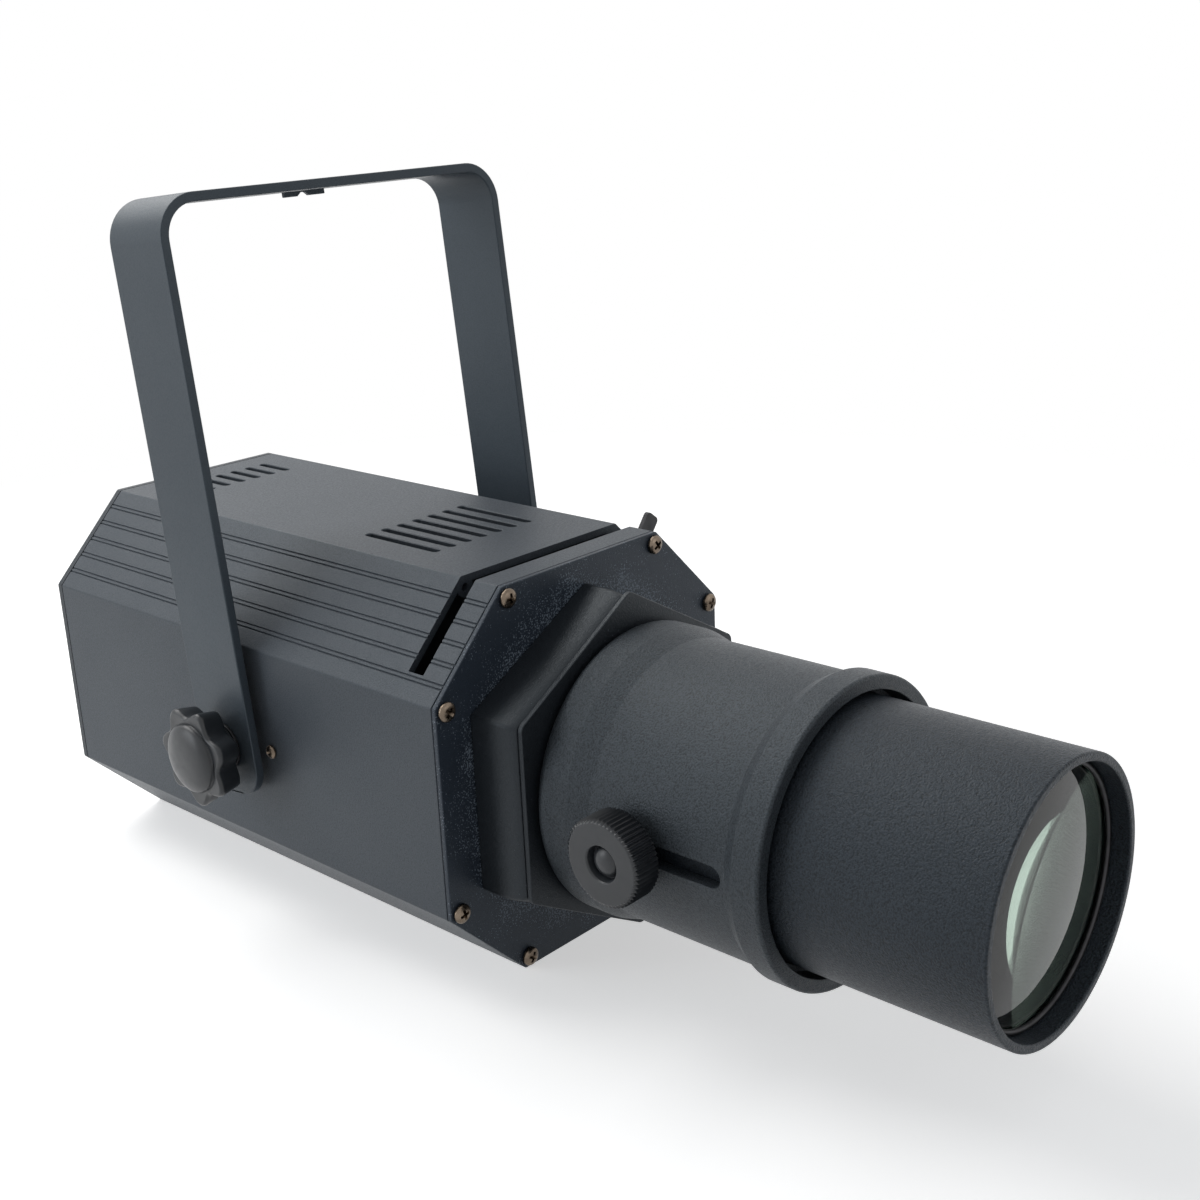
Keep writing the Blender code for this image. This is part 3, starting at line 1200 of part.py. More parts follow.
def make_inlet():
    where = (INLET_X, -FITTING_DROP, 0)
    flange = rounded(rectangle(0, 0, *grown(INLET_BODY, FITTING_WALL)), FITTING_CORNER)
    inlet = slab("mains_inlet", [flange], INLET_FLANGE, GAP)
    place(inlet, BLACK_PLASTIC, rear_face, where)
    body = slab("inlet_body_cutter", [rectangle(0, 0, *INLET_BODY)], INLET_DEPTH + GAP + INLET_FLANGE / 2,
                -INLET_DEPTH)
    width, height = INLET_CAVITY
    corner = INLET_CAVITY_CORNER
    cavity = [(-width / 2, -height / 2), (width / 2, -height / 2), (width / 2, height / 2 - corner),
              (width / 2 - corner, height / 2), (corner - width / 2, height / 2),
              (-width / 2, height / 2 - corner)]
    floor = INLET_FLOOR - INLET_DEPTH
    root = floor - INLET_FLOOR / 2
    hollow = slab("inlet_cavity_cutter", [cavity], 2 * INLET_DEPTH, floor)
    pin_places = ((-INLET_PIN_SPACING, -INLET_EARTH_RISE / 2), (0, INLET_EARTH_RISE),
                  (INLET_PIN_SPACING, -INLET_EARTH_RISE / 2))
    to_cutter(place(body, parent=rear_face, location=where))
    to_cutter(place(hollow, parent=rear_face, location=where))
    join(inlet, body)
    cut(inlet, hollow)
    for i, (x, y) in enumerate(pin_places):
        pin = slab(f"inlet_pin_{i + 1}_cutter", [rectangle(x, y, *INLET_PIN)],
                   -INLET_PIN_RECESS - root, root)
        to_cutter(place(pin, parent=rear_face, location=where))
        join(inlet, pin)


def make_switch():
    where = (SWITCH_X, -FITTING_DROP, 0)
    flange = rounded(rectangle(0, 0, *grown(SWITCH_BODY, FITTING_WALL)), FITTING_CORNER / 2)
    frame = slab("switch_frame", [flange], SWITCH_FLANGE, GAP)
    place(frame, BLACK_PLASTIC, rear_face, where)
    body = slab("switch_body_cutter", [rectangle(0, 0, *SWITCH_BODY)], SWITCH_DEPTH + GAP + SWITCH_FLANGE / 2,
                -SWITCH_DEPTH)
    pocket = slab("switch_pocket_cutter", [rectangle(0, 0, *grown(ROCKER_SIZE, ROCKER_GAP))],
                  2 * SWITCH_DEPTH, -SWITCH_DEPTH / 2 - ROCKER_DROP)
    holes = cylinder("rocker_hole_cutter", ROCKER_PIN_RADIUS + RUNNING, -SWITCH_BODY[0], SWITCH_BODY[0],
                     2 * TINY_ROUND)
    pivot = (SWITCH_X, -FITTING_DROP, -ROCKER_PIVOT_DEPTH)
    sideways = (0, math.pi / 2, 0)
    for tool in (body, pocket):
        to_cutter(place(tool, parent=rear_face, location=where))
    to_cutter(place(holes, parent=rear_face, location=pivot, rotation=sideways))
    join(frame, body)
    cut(frame, pocket, holes)
    make_rocker(pivot, sideways)


def make_rocker(pivot, sideways):
    # Rests with its lower half pressed in; drawn with local X along the panel's upward direction
    width, height = ROCKER_SIZE
    end = height / 2
    foot = ROCKER_FOOT / 2
    outline = [(-end, ROCKER_RISE), (-end, 0), (-foot, -ROCKER_DROP), (foot, -ROCKER_DROP), (end, 0),
               (end, ROCKER_RISE), (0, ROCKER_RISE - ROCKER_DIP)]
    rocker = slab("switch_rocker", [outline], width, -width / 2)
    rocker.data.transform(Matrix(((0, 0, 1, 0), (1, 0, 0, 0), (0, 1, 0, 0), (0, 0, 0, 1))))
    place(rocker, BLACK_PLASTIC, rear_face, pivot, (ROCKER_TURN, 0, 0))
    reach = width / 2 + ROCKER_PIN_REACH
    pins = cylinder("rocker_pin_cutter", ROCKER_PIN_RADIUS, -reach, reach, 2 * TINY_ROUND)
    join(rocker, to_cutter(place(pins, parent=rear_face, location=pivot, rotation=sideways)))


def make_dimmer():
    where = (DIMMER_X, -FITTING_DROP, 0)
    inside = -(REAR_PANEL_THICKNESS + GAP)
    bore = DIMMER_SHAFT_RADIUS + RUNNING
    bore_end = -DIMMER_SHAFT_LENGTH - GAP
    profile = [(0, bore_end), (bore, bore_end), (bore, DIMMER_BUSH_HEIGHT),
               (DIMMER_BUSH_RADIUS, DIMMER_BUSH_HEIGHT), (DIMMER_BUSH_RADIUS, inside),
               (DIMMER_BODY_RADIUS, inside),
               (DIMMER_BODY_RADIUS, inside - DIMMER_BODY_DEPTH), (0, inside - DIMMER_BODY_DEPTH)]
    dimmer = place(lathe("dimmer", profile, 2 * TINY_ROUND), BRIGHT_METAL, rear_face, where)
    nut_bore = circle(DIMMER_BUSH_RADIUS - EDGE, 2 * TINY_ROUND)
    nut = slab("dimmer_nut_cutter", [circle(DIMMER_NUT_RADIUS, 6), nut_bore], DIMMER_NUT_HEIGHT, GAP)
    join(dimmer, to_cutter(place(nut, parent=rear_face, location=where)))
    top = GAP + DIMMER_KNOB_HEIGHT
    hollow = DIMMER_KNOB_RADIUS - DIMMER_KNOB_WALL
    ceiling = GAP + DIMMER_KNOB_HOLLOW
    profile = [(0, top), (DIMMER_KNOB_TOP_RADIUS, top), (DIMMER_KNOB_TOP_RADIUS + EDGE, top - EDGE),
               (DIMMER_KNOB_RADIUS, GAP), (hollow, GAP), (hollow, ceiling), (DIMMER_SHAFT_RADIUS, ceiling),
               (DIMMER_SHAFT_RADIUS, -DIMMER_SHAFT_LENGTH), (0, -DIMMER_SHAFT_LENGTH)]
    knob = place(lathe("dimmer_knob", profile, 2 * TINY_ROUND), BLACK_PLASTIC, rear_face, where)
    pointer = block("dimmer_pointer_cutter", (-DIMMER_POINTER / 2, DIMMER_KNOB_TOP_RADIUS / 3, top - EDGE),
                    (DIMMER_POINTER / 2, DIMMER_KNOB_RADIUS, top + EDGE))
    cut(knob, to_cutter(place(pointer, parent=rear_face, location=where)))


def main():
    screw_y = FRONT_Y + SIDE_SCREW_BEHIND_FRONT
    side_screw_cutter = side_hole_cutter("side_screw_cutter", SIDE_SCREW_SHANK_RADIUS + SCREW_CLEARANCE,
                                         screw_y)
    make_housing(side_screw_cutter)
    make_front_plate()
    make_end_screws()
    make_side_screws()
    make_hood()
    make_flange()
    make_barrel()
    make_lens_tube()
    make_lenses()
    make_thumb_screw()
    make_yoke()
    make_pivots()
    make_leaves()
    make_iris_ring()
    make_cassette()
    make_gate()
    make_optics_frame(side_screw_cutter)
    make_condenser()
    make_light_source()
    make_fan()
    make_driver()
    make_rear_panel()
    make_inlet()
    make_switch()
    make_dimmer()


main()
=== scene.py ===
import json
import math

import bmesh
import bpy
import numpy as np
from mathutils import Euler, Matrix, Vector, geometry


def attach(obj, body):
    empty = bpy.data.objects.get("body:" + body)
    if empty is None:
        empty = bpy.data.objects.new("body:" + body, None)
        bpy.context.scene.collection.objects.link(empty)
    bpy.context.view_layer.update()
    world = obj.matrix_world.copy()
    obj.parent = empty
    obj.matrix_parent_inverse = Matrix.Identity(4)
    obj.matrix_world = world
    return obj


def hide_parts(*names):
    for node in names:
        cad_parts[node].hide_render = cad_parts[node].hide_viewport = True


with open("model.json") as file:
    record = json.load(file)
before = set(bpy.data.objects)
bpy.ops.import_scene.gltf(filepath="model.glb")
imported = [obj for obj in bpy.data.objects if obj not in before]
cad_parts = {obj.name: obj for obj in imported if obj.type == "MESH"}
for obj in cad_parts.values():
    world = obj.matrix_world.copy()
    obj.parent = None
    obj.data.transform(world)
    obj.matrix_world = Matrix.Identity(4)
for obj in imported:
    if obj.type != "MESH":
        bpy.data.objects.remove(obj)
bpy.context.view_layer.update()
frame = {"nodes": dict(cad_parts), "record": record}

print("frame loaded,", len(frame["nodes"]), "nodes")


def turnedFrame(location, rotation=(0, 0, 0), parent=None):
    # The axes of a piece: turned, then moved, within the parent's axes
    here = Matrix.Translation(location) @ Euler(rotation).to_matrix().to_4x4()
    return parent @ here if parent else here


body = dict(width=0.1684, height=0.1668, flank=0.0385, wall=0.003, length=0.263, frontY=-0.127,
            corner=0.0013, edge=0.00035)
halfWidth = body["width"] / 2
halfHeight = body["height"] / 2
gap = 0.0003              # play between two pieces that touch
plateThickness = 0.0025
panelThickness = 0.003
barrelFront = 0.1344      # from the housing's front edge along the optical axis
tubeReach = 0.0831        # how far the lens tube stands out of the barrel
focusBehind = 0.0598      # from the barrel's front back to the focus screw
focusTurn = 0.5           # degrees round the optical axis, from the left side downwards
yokeLean = -5.6           # degrees, so that the yoke leans back
tubeFront = barrelFront + tubeReach
focusForward = barrelFront - focusBehind
# On the optical axis z runs forward and y up; behind the rear face z runs backward and x to the right
opticalAxis = turnedFrame((0, body["frontY"], halfHeight), (math.pi / 2, 0, 0))
rearFace = turnedFrame((0, 0, -body["length"] - gap - panelThickness), (0, math.pi, 0), opticalAxis)
focusAxis = turnedFrame((0, 0, focusForward), (math.pi / 2, 0, math.radians(focusTurn - 90)), opticalAxis)
yokePivot = turnedFrame((0, 0, halfHeight), (math.radians(yokeLean), 0, 0))
leftAndRight = (("left", -1), ("right", 1))
scene = bpy.context.scene


def inPlace(points, matrix):
    # Every point is turned by the matrix's rotation, then moved by its translation
    m = np.array(matrix)
    return np.asarray(points, float) @ m[:3, :3].T + m[:3, 3]


def sideFrame(parent, x, side):
    # Local z points out of the left side, -1, or of the right side, 1
    return turnedFrame((x, 0, 0), (0, side * math.pi / 2, 0), parent)


def turnedAbout(angle):
    return Matrix.Rotation(math.radians(angle), 4, "Z")


# Outlines and profiles

tiny = 1e-7


def roundedPath(corners, radii, steps=5, closed=True):
    # Every corner becomes an arc. Its centre lies on the line that halves the corner, at the radius over
    # the sine of half the angle, and the spoke to its start turns evenly into the spoke to its end: the sum
    # of both, weighted by the sines of the angle to go and the angle gone, over the sine of the whole angle
    p = np.asarray(corners, float)
    r = np.broadcast_to(np.asarray(radii, float), len(p)).copy()
    if not closed:
        r[[0, -1]] = 0
    back = np.roll(p, 1, axis=0) - p
    ahead = np.roll(p, -1, axis=0) - p
    back /= np.linalg.norm(back, axis=1, keepdims=True)
    ahead /= np.linalg.norm(ahead, axis=1, keepdims=True)
    half = np.arccos(np.clip((back * ahead).sum(axis=1), -1, 1)) / 2
    half = np.where(r > 0, half, np.pi / 4)
    reach = (r / np.tan(half))[:, None]
    middle = back + ahead
    size = np.linalg.norm(middle, axis=1, keepdims=True)
    middle = np.divide(middle, size, out=np.zeros_like(middle), where=size > tiny)
    centre = p + middle * (r / np.sin(half))[:, None]
    s = p + back * reach - centre
    e = p + ahead * reach - centre
    a = (np.pi - 2 * half)[:, None, None]
    f = np.linspace(0, 1, steps + 1)[None, :, None]
    path = centre[:, None] + (np.sin((1 - f) * a) * s[:, None] + np.sin(f * a) * e[:, None]) / np.sin(a)
    path = path.reshape(-1, 2)
    keep = np.linalg.norm(np.diff(path, axis=0), axis=1) > tiny
    path = path[np.append(True, keep)]
    if closed and np.linalg.norm(path[0] - path[-1]) < tiny:
        path = path[:-1]
    return path


def ringOutline(radius, count, centre=(0, 0)):
    # A circle: the centre plus the radius times the cosine and the sine of the angle t
    t = np.linspace(0, 2 * np.pi, count, endpoint=False)
    return np.stack([centre[0] + radius * np.cos(t), centre[1] + radius * np.sin(t)], axis=1)


def slotOutline(start, end, width, steps=10):
    # Two half circles of the slot's width, round its two end centres
    start, end = np.asarray(start, float), np.asarray(end, float)
    way = math.atan2(*(end - start)[::-1])
    t = np.linspace(-np.pi / 2, np.pi / 2, steps + 1)
    cap = width / 2 * np.stack([np.cos(way + t), np.sin(way + t)], axis=1)
    return np.concatenate([end + cap, start - cap])


def hexagonOutline(size, draw=0.0):
    # Upright sides as far out as the width and as high as the shoulders, then slopes up to the peaks;
    # a draw moves every side inwards by as much, square to itself
    width, shoulder, peak = size
    slope = math.atan2(peak - shoulder, width)
    side, tip = width - draw, peak - draw / math.cos(slope)
    low = tip - side * math.tan(slope)
    return np.array([(side, low), (0, tip), (-side, low), (-side, -low), (0, -tip), (side, -low)])


def inset(outline, distance, leastShare=0.2):
    # Moves a counter-clockwise outline inwards: each point by the distance times the sum of its two edges'
    # normals, over one plus their dot product, which a needle corner can't bring under the least share
    along = np.roll(outline, -1, axis=0) - outline
    along /= np.linalg.norm(along, axis=1, keepdims=True)
    after = np.stack([-along[:, 1], along[:, 0]], axis=1)
    before = np.roll(after, 1, axis=0)
    share = 1 + (after * before).sum(axis=1, keepdims=True)
    return outline + distance * (after + before) / np.maximum(share, leastShare)


def mirrored(rows, flip=1):
    return np.concatenate([rows, (rows * flip)[::-1]])


def lifted(outline, height):
    return np.column_stack([outline, np.full(len(outline), height)])


# Meshes

creaseAngle = 32      # degrees from which an edge stays sharp


def gridFaces(rows, columns, closedRows=False, start=0):
    # One quad between two rows and two columns; the last column joins the first, and the rows may too
    i, j = np.meshgrid(np.arange(rows if closedRows else rows - 1), np.arange(columns), indexing="ij")
    nextI, nextJ = (i + 1) % rows, (j + 1) % columns
    corners = ((i, j), (i, nextJ), (nextI, nextJ), (nextI, j))
    quads = np.stack([row * columns + column for row, column in corners], axis=-1)
    return (quads.reshape(-1, 4) + start).tolist()


def newObject(name, data):
    made = bpy.data.objects.new(name, data)
    scene.collection.objects.link(made)
    return made


def makePiece(name, points, faces, sharpAngle=creaseAngle):
    # Welds doubles, turns the faces outwards and shades them smooth between the sharp edges
    mesh = bpy.data.meshes.new(name)
    mesh.from_pydata(np.asarray(points).tolist(), [], faces)
    work = bmesh.new()
    work.from_mesh(mesh)
    bmesh.ops.remove_doubles(work, verts=work.verts, dist=tiny)
    bmesh.ops.recalc_face_normals(work, faces=work.faces)
    if work.calc_volume(signed=True) < 0:
        bmesh.ops.reverse_faces(work, faces=work.faces)
    work.to_mesh(mesh)
    work.free()
    mesh.shade_smooth()
    mesh.set_sharp_from_angle(angle=math.radians(sharpAngle))
    return newObject(name, mesh)


def turnedPoints(r, z, t):
    # x is the radius times the cosine of the angle t, y the radius times its sine, and z the height
    return np.stack([r * np.cos(t), r * np.sin(t), z + 0 * t], axis=-1).reshape(-1, 3)


def turnedPiece(name, profile, matrix, sides=144, closed=True):
    # Every point of the profile, a radius and a height, goes round the axis
    profile = np.asarray(profile, float)
    t = np.linspace(0, 2 * np.pi, sides, endpoint=False)
    points = turnedPoints(profile[:, 0, None], profile[:, 1, None], t)
    return makePiece(name, inPlace(points, matrix), gridFaces(len(profile), sides, closed))


def platePiece(name, loops, low, high, matrix, edge, steps=3):
    # Every loop rises from low to high, and a quarter circle of the edge's radius rounds both its rims:
    # inwards by the radius times one minus the sine, upwards by the radius times one minus the cosine.
    # The first loop is the outline, counter-clockwise, and the others are holes
    a = np.linspace(0, np.pi / 2, steps + 1)
    draw = mirrored(edge * (1 - np.sin(a)))
    rise = edge * (1 - np.cos(a))
    rise = np.concatenate([low + rise, high - rise[::-1]])
    points, faces = [], []
    rims, rimIndex = ([], []), ([], [])
    start = 0
    for i, loop in enumerate(loops):
        loop = np.asarray(loop, float)
        area = (loop[:, 0] * np.roll(loop[:, 1], -1) - np.roll(loop[:, 0], -1) * loop[:, 1]).sum()
        if (area < 0) != (i > 0):
            loop = loop[::-1]
        sections = np.stack([lifted(inset(loop, d), z) for d, z in zip(draw, rise)])
        points.append(sections.reshape(-1, 3))
        faces += gridFaces(len(sections), len(loop), start=start)
        for end, row in enumerate((0, len(sections) - 1)):
            rims[end].append([Vector((*p[:2], 0)) for p in sections[row]])
            rimIndex[end].append(start + row * len(loop) + np.arange(len(loop)))
        start += len(sections) * len(loop)
    for end in (0, 1):
        index = np.concatenate(rimIndex[end])
        faces += index[np.array(geometry.tessellate_polygon(rims[end]))].tolist()
    return makePiece(name, inPlace(np.concatenate(points), matrix), faces)


def sectionPiece(name, sections, matrix, closedRows=False):
    # Joins equal outlines one after the other; the first and last are closed unless the rows close
    sections = np.asarray(sections, float)
    rows, columns = sections.shape[:2]
    faces = gridFaces(rows, columns, closedRows)
    if not closedRows:
        faces += [list(range(columns))[::-1], list(range((rows - 1) * columns, rows * columns))]
    return makePiece(name, inPlace(sections.reshape(-1, 3), matrix), faces)


def flaredTool(outline, low, surface, flare, matrix):
    # A straight cutter whose mouth widens at 45 degrees where it leaves the surface
    return sectionPiece("cutter", [lifted(outline, low), lifted(outline, surface - flare),
                                   lifted(inset(outline, -2 * flare), surface + flare)], matrix)


def straightTool(outline, low, high, matrix):
    return sectionPiece("cutter", [lifted(outline, low), lifted(outline, high)], matrix)


def carved(piece, *cutters, operation="DIFFERENCE"):
    # Cuts the tools out of the piece for good, or joins them to it, and removes them
    for tool in cutters:
        step = piece.modifiers.new("carve", "BOOLEAN")
        step.operation = operation
        step.solver = "EXACT"
        step.object = tool
    result = bpy.data.meshes.new_from_object(piece.evaluated_get(bpy.context.evaluated_depsgraph_get()))
    piece.modifiers.clear()
    piece.data = result
    for tool in cutters:
        bpy.data.objects.remove(tool, do_unlink=True)
    result.shade_smooth()
    result.set_sharp_from_angle(angle=math.radians(creaseAngle))
    return piece


def finished(piece, paint, node, bodyName="housing", evenShading=True):
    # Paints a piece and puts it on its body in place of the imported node
    piece.data.materials.clear()
    piece.data.materials.append(paint)
    if evenShading:
        step = piece.modifiers.new("evenNormals", "WEIGHTED_NORMAL")
        step.keep_sharp = True
        step.weight = 80
    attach(piece, bodyName)
    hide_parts(node)


# Finishes

def newMaterial(name, colour, roughness, metallic=0.0):
    made = bpy.data.materials.new(name)
    made.use_nodes = True
    shader = made.node_tree.nodes["Principled BSDF"]
    shader.inputs["Base Color"].default_value = (*colour, 1)
    shader.inputs["Roughness"].default_value = roughness
    shader.inputs["Metallic"].default_value = metallic
    return made, made.node_tree, shader


def addedNode(tree, kind, values, output=0, operation=None):
    # Every input in values is linked to a socket or set to a number or colour; gives one output back
    node = tree.nodes.new("ShaderNode" + kind)
    if operation:
        node.operation = operation
    if kind == "Mix":
        node.data_type = "RGBA"
    for key, value in values.items():
        if isinstance(value, bpy.types.NodeSocket):
            tree.links.new(value, node.inputs[key])
        else:
            node.inputs[key].default_value = value
    return node.outputs[output]


def objectPlace(tree):
    return addedNode(tree, "TexCoord", {}, "Object")


def noiseNode(tree, scale, detail=2.0, roughness=0.5):
    return addedNode(tree, "TexNoise", {"Vector": objectPlace(tree), "Scale": scale, "Detail": detail,
                                        "Roughness": roughness})


def rangeNode(tree, value, low, high, toLow, toHigh):
    return addedNode(tree, "MapRange", {"Value": value, "From Min": low, "From Max": high,
                                        "To Min": toLow, "To Max": toHigh})


def mixedColour(tree, share, first, second):
    # Sockets 6 and 7 of the mix node take its two colours, and 2 gives the mixed one
    first, second = ((*c, 1) if isinstance(c, tuple) else c for c in (first, second))
    return addedNode(tree, "Mix", {0: share, 6: first, 7: second}, 2)


def mathNode(tree, operation, first, second=0.0):
    return addedNode(tree, "Math", {0: first, 1: second}, operation=operation)


def reachFromAxis(tree):
    # Distance from the optical axis, which runs along Y at half the housing's height
    x = addedNode(tree, "SeparateXYZ", {0: objectPlace(tree)}, "X")
    rise = mathNode(tree, "SUBTRACT", x.node.outputs["Z"], halfHeight)
    total = mathNode(tree, "ADD", mathNode(tree, "POWER", x, 2.0), mathNode(tree, "POWER", rise, 2.0))
    return mathNode(tree, "SQRT", total)


def bumpNode(tree, height, strength, distance):
    return addedNode(tree, "Bump", {"Strength": strength, "Distance": distance, "Height": height})


def surfaceNodes(tree, shader, colour, gloss, normal):
    for value, socket in ((colour, "Base Color"), (gloss, "Roughness"), (normal, "Normal")):
        tree.links.new(value, shader.inputs[socket])


powder = dict(driftScale=14, glossGrain=0.6, glossSpread=0.07, bump=0.9, coolGloss=(0.84, 0.93, 1.0, 1.0))
spray = dict(blotchScale=55, grainScale=1350, thickness=0.05, cover=0.75)


def powderCoat(name, colour, lighter, roughness, grain=1700, depth=0.00014, pitShade=0.25, sheen=0.35):
    # Baked powder paint: orange peel with painted shade in its pits, uneven gloss and a slow drift of tone
    made, tree, shader = newMaterial(name, colour, roughness)
    shader.inputs["Specular IOR Level"].default_value = sheen
    shader.inputs["Specular Tint"].default_value = powder["coolGloss"]
    drift = rangeNode(tree, noiseNode(tree, powder["driftScale"], 3), 0.35, 0.65, 0, 1)
    peel = noiseNode(tree, grain, 2, 0.6)
    # The peel's low parts are painted darker as shade, and its crests lighter as a painted highlight
    peelShading = rangeNode(tree, peel, 0.34, 0.56, 1 - pitShade, 1 + pitShade * 0.4)
    drifting = mixedColour(tree, drift, colour, lighter)
    tone = addedNode(tree, "VectorMath", {0: drifting, "Scale": peelShading}, operation="SCALE")
    gloss = rangeNode(tree, noiseNode(tree, grain * powder["glossGrain"], 2), 0.3, 0.7,
                      roughness - powder["glossSpread"], roughness + powder["glossSpread"])
    surfaceNodes(tree, shader, tone, gloss, bumpNode(tree, peel, powder["bump"], depth))
    return made


def overspray(made, colour, places, share):
    # Pale dry grains of paint: fine noise spots, thickened in wide blotches and where the places mask is high
    tree = made.node_tree
    shader = tree.nodes["Principled BSDF"]
    blotch = rangeNode(tree, noiseNode(tree, spray["blotchScale"], 3, 0.6), 0.42, 0.68, 0, 0.6)
    dense = mathNode(tree, "ADD", blotch, places(tree)) if places else blotch
    level = rangeNode(tree, dense, 0, 1.2, share + 0.12, share - 0.10)
    above = mathNode(tree, "SUBTRACT", noiseNode(tree, spray["grainScale"], 2, 0.5), level)
    spots = rangeNode(tree, above, 0, spray["thickness"], 0, spray["cover"])
    under = shader.inputs["Base Color"].links[0].from_socket
    tree.links.new(mixedColour(tree, spots, under, colour), shader.inputs["Base Color"])
    return made


def metalFinish(name, colour, darker, roughness, scale, depth):
    # Plated or mill metal: fine grain and cloudy tone
    made, tree, shader = newMaterial(name, colour, roughness, 1.0)
    cloud = rangeNode(tree, noiseNode(tree, scale * 0.1, 4), 0.3, 0.7, 0, 1)
    gloss = rangeNode(tree, noiseNode(tree, scale * 0.4, 3), 0.3, 0.7, roughness - 0.08, roughness + 0.1)
    surfaceNodes(tree, shader, mixedColour(tree, cloud, darker, colour), gloss,
                 bumpNode(tree, noiseNode(tree, scale, 2), 0.5, depth))
    return made


def mouldedPlastic(name, colour, roughness):
    # Satin moulded plastic with a fine spark-eroded grain
    made, tree, shader = newMaterial(name, colour, roughness)
    wear = rangeNode(tree, noiseNode(tree, 90, 4), 0.35, 0.7, 0, 1)
    worn = tuple(c * 1.25 + 0.002 for c in colour)
    gloss = rangeNode(tree, noiseNode(tree, 300, 3), 0.3, 0.7, roughness - 0.06, roughness + 0.08)
    surfaceNodes(tree, shader, mixedColour(tree, wear, colour, worn), gloss,
                 bumpNode(tree, noiseNode(tree, 2800, 1), 0.35, 0.00004))
    return made


def lensGlass(name, tint):
    # Clear lens glass with a green cast; the tint counts once on the way in and once on the way out
    made, tree, shader = newMaterial(name, tint, 0.0)
    shader.inputs["Transmission Weight"].default_value = 1.0
    shader.inputs["IOR"].default_value = 1.46
    return made


def roundTheHood(tree):
    # High close to the hood, low towards the plate's rim
    return rangeNode(tree, reachFromAxis(tree), 0.070, 0.082, 0.9, 0.1)


# The pits value of each coat sets how much painted shade darkens the peel's pits
housingPaint = powderCoat("housingPaint", (0.056, 0.066, 0.079), (0.067, 0.077, 0.090), 0.46,
                          depth=0.00012, pitShade=0.26)
rearPaint = powderCoat("rearPaint", (0.025, 0.030, 0.037), (0.031, 0.037, 0.045), 0.44, pitShade=0.3)
platePaint = powderCoat("platePaint", (0.018, 0.026, 0.039), (0.024, 0.033, 0.048), 0.42)
hoodPaint = powderCoat("hoodPaint", (0.014, 0.017, 0.021), (0.019, 0.023, 0.028), 0.40)
overspray(platePaint, (0.26, 0.31, 0.37), roundTheHood, 0.60)
overspray(hoodPaint, (0.16, 0.18, 0.21), None, 0.66)
barrelPaint = powderCoat("barrelPaint", (0.033, 0.040, 0.047), (0.041, 0.048, 0.056), 0.44,
                         grain=1400, depth=0.00042, pitShade=0.75)
tubePaint = powderCoat("tubePaint", (0.017, 0.022, 0.029), (0.023, 0.029, 0.037), 0.42,
                       grain=1300, depth=0.00050, pitShade=0.80, sheen=0.30)
yokePaint = powderCoat("yokePaint", (0.051, 0.065, 0.080), (0.062, 0.078, 0.094), 0.40,
                       grain=2000, depth=0.00007, pitShade=0.14)
screwPlate = metalFinish("screwPlate", (0.24, 0.19, 0.145), (0.10, 0.078, 0.06), 0.27, 1600, 0.00004)
millMetal = metalFinish("millMetal", (0.70, 0.70, 0.71), (0.52, 0.52, 0.53), 0.34, 1500, 0.00003)
blackMetal = metalFinish("blackMetal", (0.055, 0.055, 0.058), (0.03, 0.03, 0.032), 0.42, 1500, 0.00004)
knobPlastic = mouldedPlastic("knobPlastic", (0.017, 0.020, 0.024), 0.34)
fittingPlastic = mouldedPlastic("fittingPlastic", (0.018, 0.018, 0.019), 0.38)
boardPaint = mouldedPlastic("boardPaint", (0.78, 0.78, 0.74), 0.4)
frontGlass = lensGlass("frontGlass", (0.475, 0.605, 0.515))
rearGlass = lensGlass("rearGlass", (0.56, 0.745, 0.635))
print("finishes made")

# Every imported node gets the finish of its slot, which shows on those that keep their own shape
keptFinish = {"dark_coat": rearPaint, "powder_coat": housingPaint, "barrel_coat": barrelPaint,
              "black_plastic": fittingPlastic, "screw_metal": screwPlate, "bright_metal": millMetal,
              "black_metal": blackMetal, "lens_glass": rearGlass, "board_white": boardPaint}
slotOf = {row["node"]: row["material_slot"] for row in frame["record"]["subparts"]}
for nodeName, node in frame["nodes"].items():
    node.data.materials.clear()
    node.data.materials.append(keptFinish[slotOf[nodeName]])


# Housing

ports = dict(inset=0.0055, radius=0.0042, bore=0.0018, first=-22.5, step=45)
grooves = dict(count=5, width=0.0018, lineHalf=0.00042, lineDepth=0.00066, rounds=(0.0001, 0.00012, 0.0001))
leverSlot = dict(start=0.0122, width=0.0085, depth=0.014, reach=0.79, proud=0.003)
vents = dict(count=7, pitch=0.009, width=0.0041, depth=0.009, flare=0.00035,
             groups=((0.0537, 0.0458), (0.2255, 0.0222)))       # start behind the front edge, and length
sideHoles = dict(pivot=0.0068, screw=0.0018, screwBehind=0.1048, reach=0.1)
pivotPlace = (0, 0, halfHeight)
screwPlace = (0, body["frontY"] + sideHoles["screwBehind"], halfHeight)


def octagonCorners():
    side, face = halfHeight - body["flank"], halfWidth - body["flank"]
    return np.array([(halfWidth, -side), (halfWidth, side), (face, halfHeight), (-face, halfHeight),
                     (-halfWidth, side), (-halfWidth, -side), (-face, -halfHeight), (face, -halfHeight)])


def portCentres():
    # Every corner moved inwards by the inset, along the line that halves it
    a = np.radians(ports["first"] + ports["step"] * np.arange(8))
    return octagonCorners() - ports["inset"] * np.stack([np.cos(a), np.sin(a)], axis=1)


